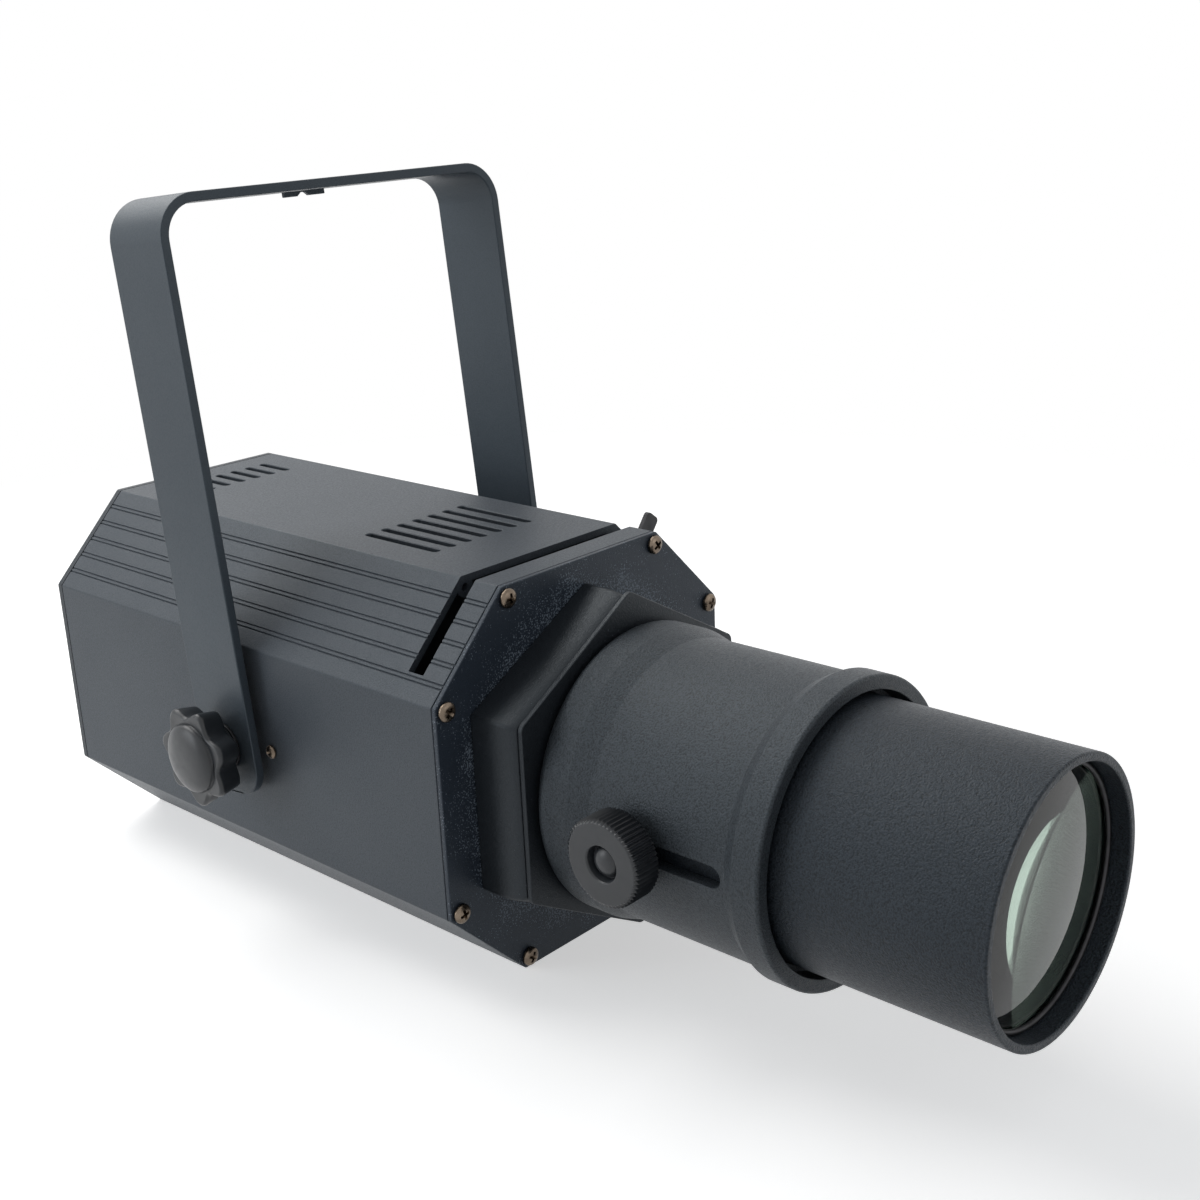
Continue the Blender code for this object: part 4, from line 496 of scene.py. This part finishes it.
def groovedOutline():
    # Each groove of the upper flanks is a pair of V lines, half a line wide to both sides of their middle
    corners = octagonCorners()
    points, radii = [], []
    for i, corner in enumerate(corners):
        points.append(corner)
        radii.append(body["corner"])
        if i not in (1, 3):
            continue
        start, end = corners[i], corners[i + 1]
        along = (end - start) / np.linalg.norm(end - start)
        inward = np.array([-along[1], along[0]])
        for groove in range(1, grooves["count"] + 1):
            middle = start + (end - start) * groove / (grooves["count"] + 1)
            for line in (-0.5, 0.5):
                at = middle + along * line * grooves["width"]
                points += [at - along * grooves["lineHalf"], at + inward * grooves["lineDepth"],
                           at + along * grooves["lineHalf"]]
                radii += grooves["rounds"]
    return roundedPath(points, radii, 4)


def boreOutline(steps=16):
    # Straight walls that bulge round each screw port, on arcs of the port's radius
    depth = ports["inset"] * math.cos(math.radians(ports["first"])) - body["wall"]
    opening = math.radians(-ports["first"]) + math.acos(depth / ports["radius"])
    rows = []
    for i, centre in enumerate(portCentres()):
        outward = math.radians(ports["first"] + ports["step"] * i)
        t = np.linspace(outward - opening, outward + opening - 2 * np.pi, steps + 1)
        rows.append(centre + ports["radius"] * np.stack([np.cos(t), np.sin(t)], axis=1))
    return np.concatenate(rows)


def leverSlotOutline():
    # A band along the top and both upper flanks, from its depth in the housing to just above the surface
    proud, depth = leverSlot["proud"], leverSlot["depth"]
    face = halfWidth - body["flank"]
    slope, out = np.array([1, -1]) / math.sqrt(2), np.array([1, 1]) / math.sqrt(2)
    end = np.array([face, halfHeight]) + slope * leverSlot["reach"] * body["flank"] * math.sqrt(2)
    turn = math.tan(math.radians(ports["step"] / 2))
    right = np.array([(face - depth * turn, halfHeight - depth), end - out * depth, end + out * proud,
                      (face + proud * turn, halfHeight + proud)], float)
    return mirrored(right, (-1, 1))


def ventTools():
    overhead = turnedFrame((0, body["frontY"], halfHeight))
    width, tools = vents["width"], []
    for start, length in vents["groups"]:
        for i in range(vents["count"]):
            x = (i - (vents["count"] - 1) / 2) * vents["pitch"]
            outline = slotOutline((x, start + width / 2), (x, start + length - width / 2), width)
            tools.append(flaredTool(outline, halfHeight - vents["depth"], halfHeight, vents["flare"],
                                    overhead))
    return tools


def makeHousing():
    loops = [groovedOutline(), boreOutline()] + [ringOutline(ports["bore"], 24, c) for c in portCentres()]
    shell = platePiece("housingShell", loops, -body["length"], 0, opticalAxis, body["edge"])
    tools = ventTools()
    front = -leverSlot["start"]
    tools.append(straightTool(leverSlotOutline(), front - leverSlot["width"], front, opticalAxis))
    reach = sideHoles["reach"]
    for middle, radius, sides in ((pivotPlace, sideHoles["pivot"], 64), (screwPlace, sideHoles["screw"], 24)):
        across = sideFrame(turnedFrame(middle), 0, 1)
        tools.append(straightTool(ringOutline(radius, sides), -reach, reach, across))
    finished(carved(shell, *tools), housingPaint, "housing_extrusion")


# Screws

endScrew = dict(radius=0.004, height=0.0025, shank=0.0016, length=0.011)
sideScrew = dict(radius=0.003, height=0.002, shank=0.0014, length=0.0065)
# How far the crosses are turned, in degrees, so that they stand unlike each other
frontScrews = dict(turned=17, step=53)
rearScrews = dict(turned=31, step=40, ports=(2, 3, 6, 7))
sideScrews = dict(turned=20)
screwHead = dict(straight=0.34, bevel=0.0002)
# Up the cross recess: shares of its reach, of its half width and of the head's height
crossRecess = dict(reach=0.62, half=0.165, levels=((0.5, 0.6, 0.12), (1, 1, 1), (1.15, 1.1, 1.3)))


def crossOutline(reach, half):
    # The twelve corners of a plus sign
    c = [(reach, -half), (reach, half), (half, half), (half, reach), (-half, reach), (-half, half),
         (-reach, half), (-reach, -half), (-half, -half), (-half, -reach), (half, -reach), (half, -half)]
    return np.array(c, float)


def panHead(name, radius, height, shank, length):
    # The dome is part of an ellipse: the radius times the sine out, and over the straight side the rest of
    # the height times the cosine
    side, bevel = height * screwHead["straight"], screwHead["bevel"]
    t = np.linspace(0, np.pi / 2, 14)
    dome = np.stack([radius * np.sin(t), side + (height - side) * np.cos(t)], axis=1)
    profile = np.concatenate([dome, [(radius, bevel), (radius - bevel, 0), (shank, 0), (shank, -length),
                                     (0, -length)]])
    head = turnedPiece(name, profile, Matrix.Identity(4), 48, closed=False)
    reach, half = radius * crossRecess["reach"], radius * crossRecess["half"]
    levels = [lifted(crossOutline(reach * long, half * wide), height * up)
              for long, wide, up in crossRecess["levels"]]
    return carved(head, sectionPiece("crossTool", levels, Matrix.Identity(4)))


def putScrew(source, seat, angle, node):
    # The piece is called as the node, without its underscores
    name = node.title().replace("_", "")
    made = newObject(name[0].lower() + name[1:], source.data.copy())
    made.data.transform(seat @ turnedAbout(angle))
    finished(made, screwPlate, node)


def makeScrews():
    pan = panHead("panHead", **endScrew)
    centres = portCentres()
    for i, centre in enumerate(centres):
        seat = opticalAxis @ Matrix.Translation((*centre, plateThickness + gap))
        putScrew(pan, seat, frontScrews["turned"] + frontScrews["step"] * i, f"front_screw_{i + 1}")
    for i, k in enumerate(rearScrews["ports"]):
        seat = rearFace @ Matrix.Translation((*centres[k], gap))
        putScrew(pan, seat, rearScrews["turned"] + rearScrews["step"] * i, f"rear_screw_{i + 1}")
    small = panHead("smallHead", **sideScrew)
    for name, side in leftAndRight:
        seat = sideFrame(turnedFrame(screwPlace), side * (halfWidth + gap), side)
        putScrew(small, seat, sideScrews["turned"], f"side_screw_{name}")
    for spare in (pan, small):
        bpy.data.objects.remove(spare, do_unlink=True)


# Front plate, hood and flange

plate = dict(corner=0.0015, edge=0.0004, opening=0.0522, screwHole=0.002)
hood = dict(size=(0.067, 0.0374, 0.073), depth=0.0222, wall=0.0028, drawIn=0.0034, curve=0.013,
            corner=0.0022, bevel=0.0002)
flange = dict(size=(0.0641, 0.0370, 0.0740), corner=0.004, edge=0.00045, back=0.0253, front=0.0275,
              opening=0.0545)


def makeFrontPlate():
    loops = [roundedPath(octagonCorners(), plate["corner"], 6), ringOutline(plate["opening"], 160)]
    loops += [ringOutline(plate["screwHole"], 24, centre) for centre in portCentres()]
    piece = platePiece("frontPlate", loops, gap, plateThickness, opticalAxis, plate["edge"], 4)
    finished(piece, platePaint, "front_plate")


def hoodSection(draw, height, corner):
    return lifted(roundedPath(hexagonOutline(hood["size"], draw), corner, 8), height)


def makeHood():
    # A quarter ellipse: the wall moves in by drawIn times one minus the root of one minus s squared, as s
    # goes from 0 to 1 over the last part of its height
    s = np.sin(np.linspace(0, np.pi / 2, 16))
    draw = hood["drawIn"] * (1 - np.sqrt(1 - s ** 2))
    rise = hood["depth"] - hood["curve"] * (1 - s)
    bevel = hood["bevel"]
    outer = [hoodSection(d, z, hood["corner"])
             for d, z in zip(np.append([bevel, 0], draw), np.append([0, bevel], rise))]
    inner = [hoodSection(hood["wall"] + d, z, hood["corner"] / 2)
             for d, z in zip(np.append(0, draw), np.append(0, rise))]
    matrix = opticalAxis @ Matrix.Translation((0, 0, plateThickness + gap))
    piece = sectionPiece("hexHood", outer + inner[::-1], matrix, closedRows=True)
    finished(piece, hoodPaint, "hex_hood")


def makeFlange():
    loops = [roundedPath(hexagonOutline(flange["size"]), flange["corner"], 10),
             ringOutline(flange["opening"], 144)]
    piece = platePiece("barrelFlange", loops, flange["back"], flange["front"], opticalAxis, flange["edge"], 4)
    finished(piece, hoodPaint, "barrel_flange")


# Barrel, lens tube and lenses. Rounds are the radii of a profile's corners, in their order

barrel = dict(radius=0.0577, raised=0.0604, bore=0.0524, mouth=0.0546, mouthDepth=0.009, spigot=0.0542,
              spigotLength=0.007, back=0.0278, ringEnd=0.0441, coneEnd=0.0541, collar=0.0116, chamfer=0.0048,
              rounds=(0.0005, 0.0013, 0.0012, 0.0016, 0.0016, 0.0016, 0.0045, 0.0002, 0.0003, 0.0002, 0.0002,
                      0.0002))
focusSlot = dict(travel=0.037, width=0.0087, flare=0.0003, sunk=0.0001)
tube = dict(radius=0.0522, bore=0.0487, tail=0.0139, screwHole=0.0043, seat=0.0459, seatWidth=0.003,
            rounds=(0.0008, 0.0009, 0.0006, 0.0003), seatRounds=(0.0002, 0.0003, 0.0003, 0.0002))
lens = dict(radius=0.0483, crown=0.0048, edge=0.0035, bevel=0.0002, bevelDrop=0.00004,
            front=tubeFront - 0.0095, rear=tubeFront - 0.056)
lensWire = 0.0011         # radius of the wire rings that hold the lenses


def makeBarrel():
    front, back = barrelFront, barrel["back"]
    collar, inside = front - barrel["collar"], front - barrel["mouthDepth"]
    spigotEnd = back - barrel["spigotLength"]
    corners = [(barrel["mouth"], front), (barrel["raised"], front), (barrel["raised"], collar),
               (barrel["radius"], collar - barrel["chamfer"]), (barrel["radius"], barrel["coneEnd"]),
               (barrel["raised"], barrel["ringEnd"]), (barrel["raised"], back), (barrel["spigot"], back),
               (barrel["spigot"], spigotEnd), (barrel["bore"], spigotEnd), (barrel["bore"], inside),
               (barrel["mouth"], inside)]
    piece = turnedPiece("barrelTube", roundedPath(corners, barrel["rounds"], 6), opticalAxis, 192)
    outline = slotOutline((0, 0), (0, focusSlot["travel"]), focusSlot["width"], 16)
    tool = flaredTool(outline, barrel["radius"] / 2, barrel["radius"] - focusSlot["sunk"],
                      focusSlot["flare"], focusAxis)
    finished(carved(piece, tool), barrelPaint, "barrel")


def crownRadius():
    # The ball that a lens face is cut from: radius squared plus crown squared, over twice the crown
    return (lens["radius"] ** 2 + lens["crown"] ** 2) / (2 * lens["crown"])


def crownLine(steps=44):
    # Along the ball from the middle out: its radius times the sine, and the crown less its radius times
    # one minus the cosine
    ball = crownRadius()
    a = np.linspace(0, math.asin(lens["radius"] / ball), steps + 1)
    return np.stack([ball * np.sin(a), lens["crown"] - ball * (1 - np.cos(a))], axis=1)


def seatCorners(face, side):
    # A shoulder that one face of a lens rests on, behind it, -1, or before it, 1
    ball = crownRadius()
    stand = lens["crown"] - ball + math.sqrt(ball ** 2 - tube["seat"] ** 2) + gap
    low, high = sorted((face + side * stand, face + side * (stand + tube["seatWidth"])))
    return [(tube["bore"], low), (tube["seat"], low), (tube["seat"], high), (tube["bore"], high)]


def makeTube():
    back = focusForward - tube["tail"]
    corners = [(tube["bore"], tubeFront), (tube["radius"], tubeFront), (tube["radius"], back),
               (tube["bore"], back)]
    corners += seatCorners(lens["rear"], 1) + seatCorners(lens["front"] - lens["edge"], -1)
    rounds = tube["rounds"] + 2 * tube["seatRounds"]
    piece = turnedPiece("lensTube", roundedPath(corners, rounds, 6), opticalAxis, 192)
    tool = straightTool(ringOutline(tube["screwHole"], 64), tube["radius"] / 2, barrel["radius"], focusAxis)
    finished(carved(piece, tool), tubePaint, "lens_tube", "lens_tube")


def makeLenses():
    front = crownLine()
    rim, edge, bevel, drop = lens["radius"], lens["edge"], lens["bevel"], lens["bevelDrop"]
    back = (front * (1, -1))[::-1] - (0, edge)
    profile = np.concatenate([front[:-1], [(rim - bevel, drop), (rim, -bevel), (rim, bevel - edge),
                                           (rim - bevel, -drop - edge)], back[1:]])
    for place, glass in (("front", frontGlass), ("rear", rearGlass)):
        matrix = opticalAxis @ Matrix.Translation((0, 0, lens[place]))
        piece = turnedPiece(f"{place}Lens", profile, matrix, 256, closed=False)
        finished(piece, glass, f"{place}_lens", "lens_tube", evenShading=False)
    section = ringOutline(lensWire, 16, (tube["bore"] - gap - lensWire, 0))
    for name, node, z in (("frontLensRing", "retaining_ring", lens["front"] + gap + lensWire),
                          ("rearLensRing", "rear_lens_ring", lens["rear"] - edge - gap - lensWire)):
        ring = turnedPiece(name, section, opticalAxis @ Matrix.Translation((0, 0, z)), 144)
        finished(ring, blackMetal, node, "lens_tube")


# Yoke and pivots

strap = dict(width=0.038, thickness=0.004, rise=0.2302, bend=0.018, tail=0.0215, corner=0.0125, edge=0.0006,
             gap=0.004, armHole=0.0043, clampHole=0.0053, clampFlare=0.0003, straight=0.02,
             crest=(0.04, 0.012))
lip = dict(half=0.011, notch=0.002, drop=0.0022, roof=0.0006, thickness=0.002, round=0.0004, edge=0.0002)
bush = dict(bore=0.0042, radius=0.0105, sleeve=0.0065, depth=0.012,
            rounds=(0.0002, 0.0004, 0.0003, 0.0001, 0.0003, 0.0002))
washer = dict(bore=0.0043, radius=0.0105, thickness=0.0014, rounds=(0.0002, 0.0002, 0.0003, 0.0003))
armOuter = halfWidth + strap["gap"] + strap["thickness"]


def strapLine(arm, top, bend):
    # The left half of the strap's middle line, from the tail to the middle: up the arm, round the bend on
    # an arc and along the top, with the lean of the strap's outer side and its half width at each point
    half, corner = strap["width"] / 2, strap["corner"]
    t = np.linspace(0, np.pi / 2, 17)
    tail = np.stack([np.full(len(t), -arm), corner * (1 - np.cos(t)) - strap["tail"]], 1)
    tailHalf = half - corner + corner * np.sin(t)
    straight = [(-arm, strap["straight"]), (-arm, top - bend - strap["straight"])]
    a = np.linspace(0, np.pi / 2, 13)
    curve = np.stack([-arm + bend - bend * np.cos(a), top - bend + bend * np.sin(a)], 1)
    crest = [(-x, top) for x in strap["crest"]]
    line = np.concatenate([tail, straight, curve, crest])
    lean = np.concatenate([np.zeros(len(tail) + len(straight)), a, np.full(len(crest), np.pi / 2)])
    return line, lean, np.concatenate([tailHalf, np.full(len(line) - len(tail), half)])


def makeStrap():
    # A rectangle with rounded edges, carried along the middle line. At both ends the rounding grows with
    # the sine of an angle, as the section moves in with one minus its cosine
    thick, edge = strap["thickness"] / 2, strap["edge"]
    line, lean, widths = strapLine(armOuter - thick, strap["rise"] - thick, strap["bend"] - thick)
    c = np.linspace(0, np.pi / 2, 5)[:-1]
    rims = np.stack([np.full(len(c), line[0, 0]), edge * (1 - np.cos(c)) - strap["tail"]], 1)
    line[0, 1] = edge - strap["tail"]
    outward = np.stack([-np.cos(lean), np.sin(lean)], 1)
    line = mirrored(np.concatenate([rims, line]), (-1, 1))
    outward = mirrored(np.concatenate([outward[:1].repeat(len(c), 0), outward]), (-1, 1))
    soft = mirrored(np.concatenate([edge * np.sin(c), np.full(len(widths), edge)]))
    widths = mirrored(np.concatenate([widths[:1].repeat(len(c)), widths]))
    u = np.repeat([1, -1, -1, 1], 5)
    v = np.repeat([1, 1, -1, -1], 5)
    t = (np.linspace(0, np.pi / 2, 5)[None, :] + (np.arange(4) * np.pi / 2)[:, None]).reshape(-1)
    across = u * (widths[:, None] - edge) + soft[:, None] * np.cos(t)
    through = v * (thick - edge) + soft[:, None] * np.sin(t)
    place = line[:, None] + outward[:, None] * through[..., None]
    return sectionPiece("yokeStrap", np.stack([place[..., 0], across, place[..., 1]], axis=-1), yokePivot)


def makeYoke():
    under = strap["rise"] - strap["thickness"]
    top, roof, low = under + lip["drop"], under - lip["roof"], under - lip["drop"]
    half, notch, back = lip["half"], lip["notch"], -strap["clampHole"]
    corners = [(-half, top), (-half, low), (-2 * notch, low), (-notch, roof), (notch * 0.2, roof),
               (notch * 1.2, low), (half, low), (half, top)]
    outline = roundedPath(corners, [0] + [lip["round"]] * 6 + [0], 4)
    upright = yokePivot @ Matrix.Rotation(math.pi / 2, 4, "X")
    tab = platePiece("lipTool", [outline], back - 1.5 * lip["thickness"], back - 0.5 * lip["thickness"],
                     upright, lip["edge"])
    piece = carved(makeStrap(), tab, operation="UNION")
    reach, through = armOuter + strap["width"], strap["rise"] - 2 * strap["thickness"]
    armHoles = straightTool(ringOutline(strap["armHole"], 64), -reach, reach, sideFrame(yokePivot, 0, 1))
    clampHole = flaredTool(ringOutline(strap["clampHole"], 64), through, strap["rise"], strap["clampFlare"],
                           yokePivot)
    finished(carved(piece, armHoles, clampHole), yokePaint, "yoke_bracket", "yoke")


def makePivots():
    face, depth = strap["gap"] - gap, bush["depth"]
    bushLine = [(bush["bore"], face), (bush["radius"], face), (bush["radius"], gap), (bush["sleeve"], gap),
                (bush["sleeve"], -depth), (bush["bore"], -depth)]
    washerLine = [(washer["bore"], 0), (washer["bore"], washer["thickness"]),
                  (washer["radius"], washer["thickness"]), (washer["radius"], 0)]
    for name, side in leftAndRight:
        level = sideFrame(turnedFrame(pivotPlace), side * halfWidth, side)
        piece = turnedPiece(f"pivotBush{name.title()}", roundedPath(bushLine, bush["rounds"], 4), level, 72)
        finished(piece, millMetal, f"pivot_bush_{name}")
        tilted = sideFrame(yokePivot, side * (armOuter + gap), side)
        line = roundedPath(washerLine, washer["rounds"], 4)
        piece = turnedPiece(f"knobWasher{name.title()}", line, tilted, 72)
        finished(piece, blackMetal, f"knob_washer_{name}", "yoke")


# Focus screw and star knobs

# The rims run from the radius inwards, from the base up or from the face down, with a share of the wave;
# the recess has its radius and its depth under the face
knurl = dict(count=56, depth=0.0012, power=0.9, radius=0.0175, height=0.0131, base=0.0609, shank=0.004,
             shankBevel=0.0004, shankIn=0.003, neck=0.006, neckBevel=0.0003, neckLength=0.0023,
             lowRim=((0.0018, 0, 0), (0.0013, 0.0001, 0.3), (0.0004, 0.0007, 0.9), (0, 0.0012, 1)),
             highRim=((0, 0.0014, 1), (0.0003, 0.0009, 0.9), (0.0010, 0.0003, 0.45), (0.0017, 0.00005, 0),
                      (0.0023, 0, 0)),
             recess=((0.0078, 0), (0.0073, 0.00025), (0.0070, 0.0008), (0.0069, 0.0034), (0.0066, 0.0038),
                     (0.0062, 0.0038)),
             dome=0.0060, domeRise=0.0033)
# The flare has shares of the lobed outline and heights above its lower face, the cap's foot radii past the
# cap, shares of the wave and heights above the lobes
star = dict(radius=0.0222, lobes=7, depth=0.0046, low=0.0042, thickness=0.0115, cap=0.0152, rise=0.0046,
            base=armOuter + gap + washer["thickness"] + gap, turned=25.7, stud=0.004, studBevel=0.0006,
            hub=0.0105, hubBevel=0.0004, side=(0.992, 0.0030), shoulder=0.0018, shoulderIn=0.075, power=0.8,
            flare=((0.80, 0), (0.88, 0.0001), (0.913, 0.0006), (0.93, 0.0016), (0.965, 0.0055)),
            foot=((0.0012, 0.25, -0.0001), (0.0003, 0.05, -0.0002), (0, 0, 0.0001), (-0.0001, 0, 0.0007)))


def shapedTurn(name, rows, matrix, sides, wave):
    # Each row has a share, a radius, a weight and a height. At the angle t it lies from the axis by its
    # share times the sum of the radius and the weight times the wave at t
    rows = np.asarray(rows, float)
    t = np.linspace(0, 2 * np.pi, sides, endpoint=False)
    share, radius, weight, z = (rows[:, i, None] for i in range(4))
    points = turnedPoints(share * (radius + weight * wave(t)[None, :]), z, t)
    return makePiece(name, inPlace(points, matrix), gridFaces(len(rows), sides), 40)


def makeFocusScrew():
    # Grooves in the rim only: the wave is the depth times the cosine of half the count times t, without its
    # sign and to the power, and fades out over the bevels and the face
    r, low, high = knurl["radius"], knurl["base"], knurl["base"] + knurl["height"]
    shank, bevel, tip = knurl["shank"], knurl["shankBevel"], tube["radius"] - knurl["shankIn"]
    neck, neckBevel, neckLow = knurl["neck"], knurl["neckBevel"], low - knurl["neckLength"]
    line = [(0, 0, tip), (shank - bevel, 0, tip), (shank, 0, tip + bevel), (shank, 0, neckLow),
            (neck - neckBevel, 0, neckLow), (neck, 0, neckLow + neckBevel), (neck, 0, low)]
    line += [(r - inward, share, low + up) for inward, up, share in knurl["lowRim"]]
    line += [(r - inward, share, high - down) for inward, down, share in knurl["highRim"]]
    line += [(radius, 0, high - down) for radius, down in knurl["recess"]]
    floor = line[-1][2]
    a = np.linspace(0.1, 1, 14) * np.pi / 2
    line += [(knurl["dome"] * math.cos(v), 0, floor + knurl["domeRise"] * math.sin(v)) for v in a]
    rows = [(1, *point) for point in line]
    piece = shapedTurn("focusScrew", rows, focusAxis, knurl["count"] * 8, lambda t: (
        -knurl["depth"] * np.abs(np.cos(knurl["count"] * t / 2)) ** knurl["power"]))
    finished(piece, knobPlastic, "thumb_screw", "focus_screw")


def makeStarKnobs():
    # The lobes' wave is half the depth times one minus the cosine of the lobes times t, taken off the
    # radius; the outline is drawn in round the rims and turns into a circle at the cap
    low, high = star["low"], star["low"] + star["thickness"]
    reach, cap, top = star["radius"], star["cap"], high + star["rise"]
    tip = -(star["base"] - halfWidth + bush["depth"] - star["studBevel"])
    rows = [(1, 0, 0, tip), (1, star["stud"] - star["studBevel"], 0, tip),
            (1, star["stud"], 0, tip + star["studBevel"]), (1, star["stud"], 0, 0),
            (1, star["hub"] - star["hubBevel"], 0, 0), (1, star["hub"], 0, star["hubBevel"]),
            (1, star["hub"], 0, low)]
    rows += [(share, reach, 1, low + up) for share, up in star["flare"]]
    share, down = star["side"]
    rows += [(share, reach, 1, high - down), (1, reach, 1, high - star["shoulder"])]
    a = np.linspace(0.15, 1, 6) * np.pi / 2
    rows += [(1 - star["shoulderIn"] * (1 - math.cos(v)), reach, 1,
              high - star["shoulder"] * (1 - math.sin(v))) for v in a]
    rows += [(1, cap + out, share, high + up) for out, share, up in star["foot"]]
    _, edge, _, start = rows[-1]
    a = np.linspace(0.08, 1, 14) * np.pi / 2
    rows += [(1, edge * math.cos(v) ** star["power"], 0, start + (top - start) * math.sin(v)) for v in a[:-1]]
    rows.append((1, 0, 0, top))
    for name, side in leftAndRight:
        matrix = sideFrame(yokePivot, side * star["base"], side) @ turnedAbout(star["turned"])
        piece = shapedTurn(f"starKnob{name.title()}", rows, matrix, star["lobes"] * 26, lambda t: (
            -star["depth"] * (1 - np.cos(star["lobes"] * t)) / 2))
        finished(piece, knobPlastic, f"star_knob_{name}", f"knob_{name}")


makeHousing()
makeScrews()
print("housing and screws made")
makeFrontPlate()
makeHood()
makeFlange()
makeBarrel()
makeTube()
makeLenses()
print("barrel and lenses made")
makeFocusScrew()
makeStarKnobs()
makePivots()
makeYoke()
print("knobs and yoke made")


# Floor, light and camera

studio = dict(floorHalf=6.0, floorTone=0.45, floorSeen=0.95, floorGlow=0.52, fadeStart=0.4, fadeEnd=0.9,
              skyColour=(0.93, 0.96, 1.0, 1), skyStrength=0.24)
# A broad lamp overhead and behind, one on the left and a weaker one in front
lamps = dict(
    overheadLamp=dict(place=(-0.1, 0.9, 1.35), target=(0, 0, 0.12), size=(1.5, 1.1), power=17,
                      colour=(1.0, 0.99, 0.97)),
    leftLamp=dict(place=(-1.45, 0.95, 0.6), target=(0, 0, 0.1), size=(0.7, 1.1), power=7.0,
                  colour=(0.92, 0.96, 1.0)),
    frontLamp=dict(place=(0.35, -1.6, 0.65), target=(0, -0.2, 0.1), size=(0.9, 0.6), power=1.2,
                   colour=(1.0, 1.0, 1.0)))
# Found from the straight edges and circles of the photograph; the focal length is in pixels of its width
view = dict(azimuth=-46.970, elevation=18.384, roll=-2.529, place=(-0.45715, -0.56471, 0.35839),
            focalPixels=1635.81, widthPixels=1200, sensor=36)
white = (1, 1, 1, 1)


def mixedShader(tree, share, first, second):
    return addedNode(tree, "MixShader", {0: share, 1: first, 2: second})


def seenAs(tree, first, second):
    # The camera, mirrors and glass see the second; every other ray sees the first
    total = camera = addedNode(tree, "LightPath", {}, "Is Camera Ray")
    for kind in ("Is Glossy Ray", "Is Transmission Ray"):
        total = mathNode(tree, "MAXIMUM", total, camera.node.outputs[kind])
    return mixedShader(tree, total, first, second)


def makeWorld():
    world = bpy.data.worlds.new("studioWorld")
    scene.world = world
    world.use_nodes = True
    tree = world.node_tree
    sky = tree.nodes["Background"]
    sky.inputs["Color"].default_value = studio["skyColour"]
    sky.inputs["Strength"].default_value = studio["skyStrength"]
    seen = seenAs(tree, sky.outputs[0], addedNode(tree, "Background", {"Color": white}))
    tree.links.new(seen, tree.nodes["World Output"].inputs["Surface"])


def glowNode(tree, strength):
    return addedNode(tree, "Emission", {"Color": white, "Strength": strength})


def makeFloor():
    # The seen floor is so pale that only the object's shadow shows on it; it fades to white further out
    half = studio["floorHalf"]
    mesh = bpy.data.meshes.new("floor")
    mesh.from_pydata([(-half, -half, 0), (half, -half, 0), (half, half, 0), (-half, half, 0)], [],
                     [(0, 1, 2, 3)])
    floor = newObject("floor", mesh)
    made, tree, shader = newMaterial("floorPaper", (studio["floorTone"],) * 3, 0.9)
    paper = addedNode(tree, "BsdfDiffuse", {"Color": (*(studio["floorSeen"],) * 3, 1)})
    both = addedNode(tree, "AddShader", {0: paper, 1: glowNode(tree, studio["floorGlow"])})
    distance = addedNode(tree, "VectorMath", {0: objectPlace(tree)}, "Value", "LENGTH")
    fade = rangeNode(tree, distance, studio["fadeStart"], studio["fadeEnd"], 0, 1)
    seen = mixedShader(tree, fade, both, glowNode(tree, 1))
    tree.links.new(seenAs(tree, shader.outputs[0], seen), tree.nodes["Material Output"].inputs["Surface"])
    mesh.materials.append(made)


def makeLamps():
    for name, values in lamps.items():
        lamp = bpy.data.lights.new(name, "AREA")
        lamp.shape = "RECTANGLE"
        lamp.size, lamp.size_y = values["size"]
        lamp.energy = values["power"]
        lamp.color = values["colour"]
        holder = newObject(name, lamp)
        holder.location = values["place"]
        aim = Vector(values["target"]) - Vector(values["place"])
        holder.rotation_euler = aim.to_track_quat("-Z", "Y").to_euler()


def makeCamera():
    # It looks against the direction of its azimuth and elevation, and its roll turns right into up
    azimuth, elevation, roll = (math.radians(view[angle]) for angle in ("azimuth", "elevation", "roll"))
    away = Vector((math.sin(azimuth) * math.cos(elevation), -math.cos(azimuth) * math.cos(elevation),
                   math.sin(elevation)))
    right = (-away).cross(Vector((0, 0, 1))).normalized()
    up = right.cross(-away)
    across = math.cos(roll) * right + math.sin(roll) * up
    upward = math.cos(roll) * up - math.sin(roll) * right
    data = bpy.data.cameras.new("camera")
    data.sensor_width = view["sensor"]
    data.lens = view["sensor"] * view["focalPixels"] / view["widthPixels"]
    camera = newObject("camera", data)
    turn = Matrix((across, upward, away)).transposed()
    camera.matrix_world = Matrix.Translation(view["place"]) @ turn.to_4x4()
    scene.camera = camera


makeWorld()
makeFloor()
makeLamps()
makeCamera()
scene.view_settings.view_transform = "Standard"
print("studio and camera ready")
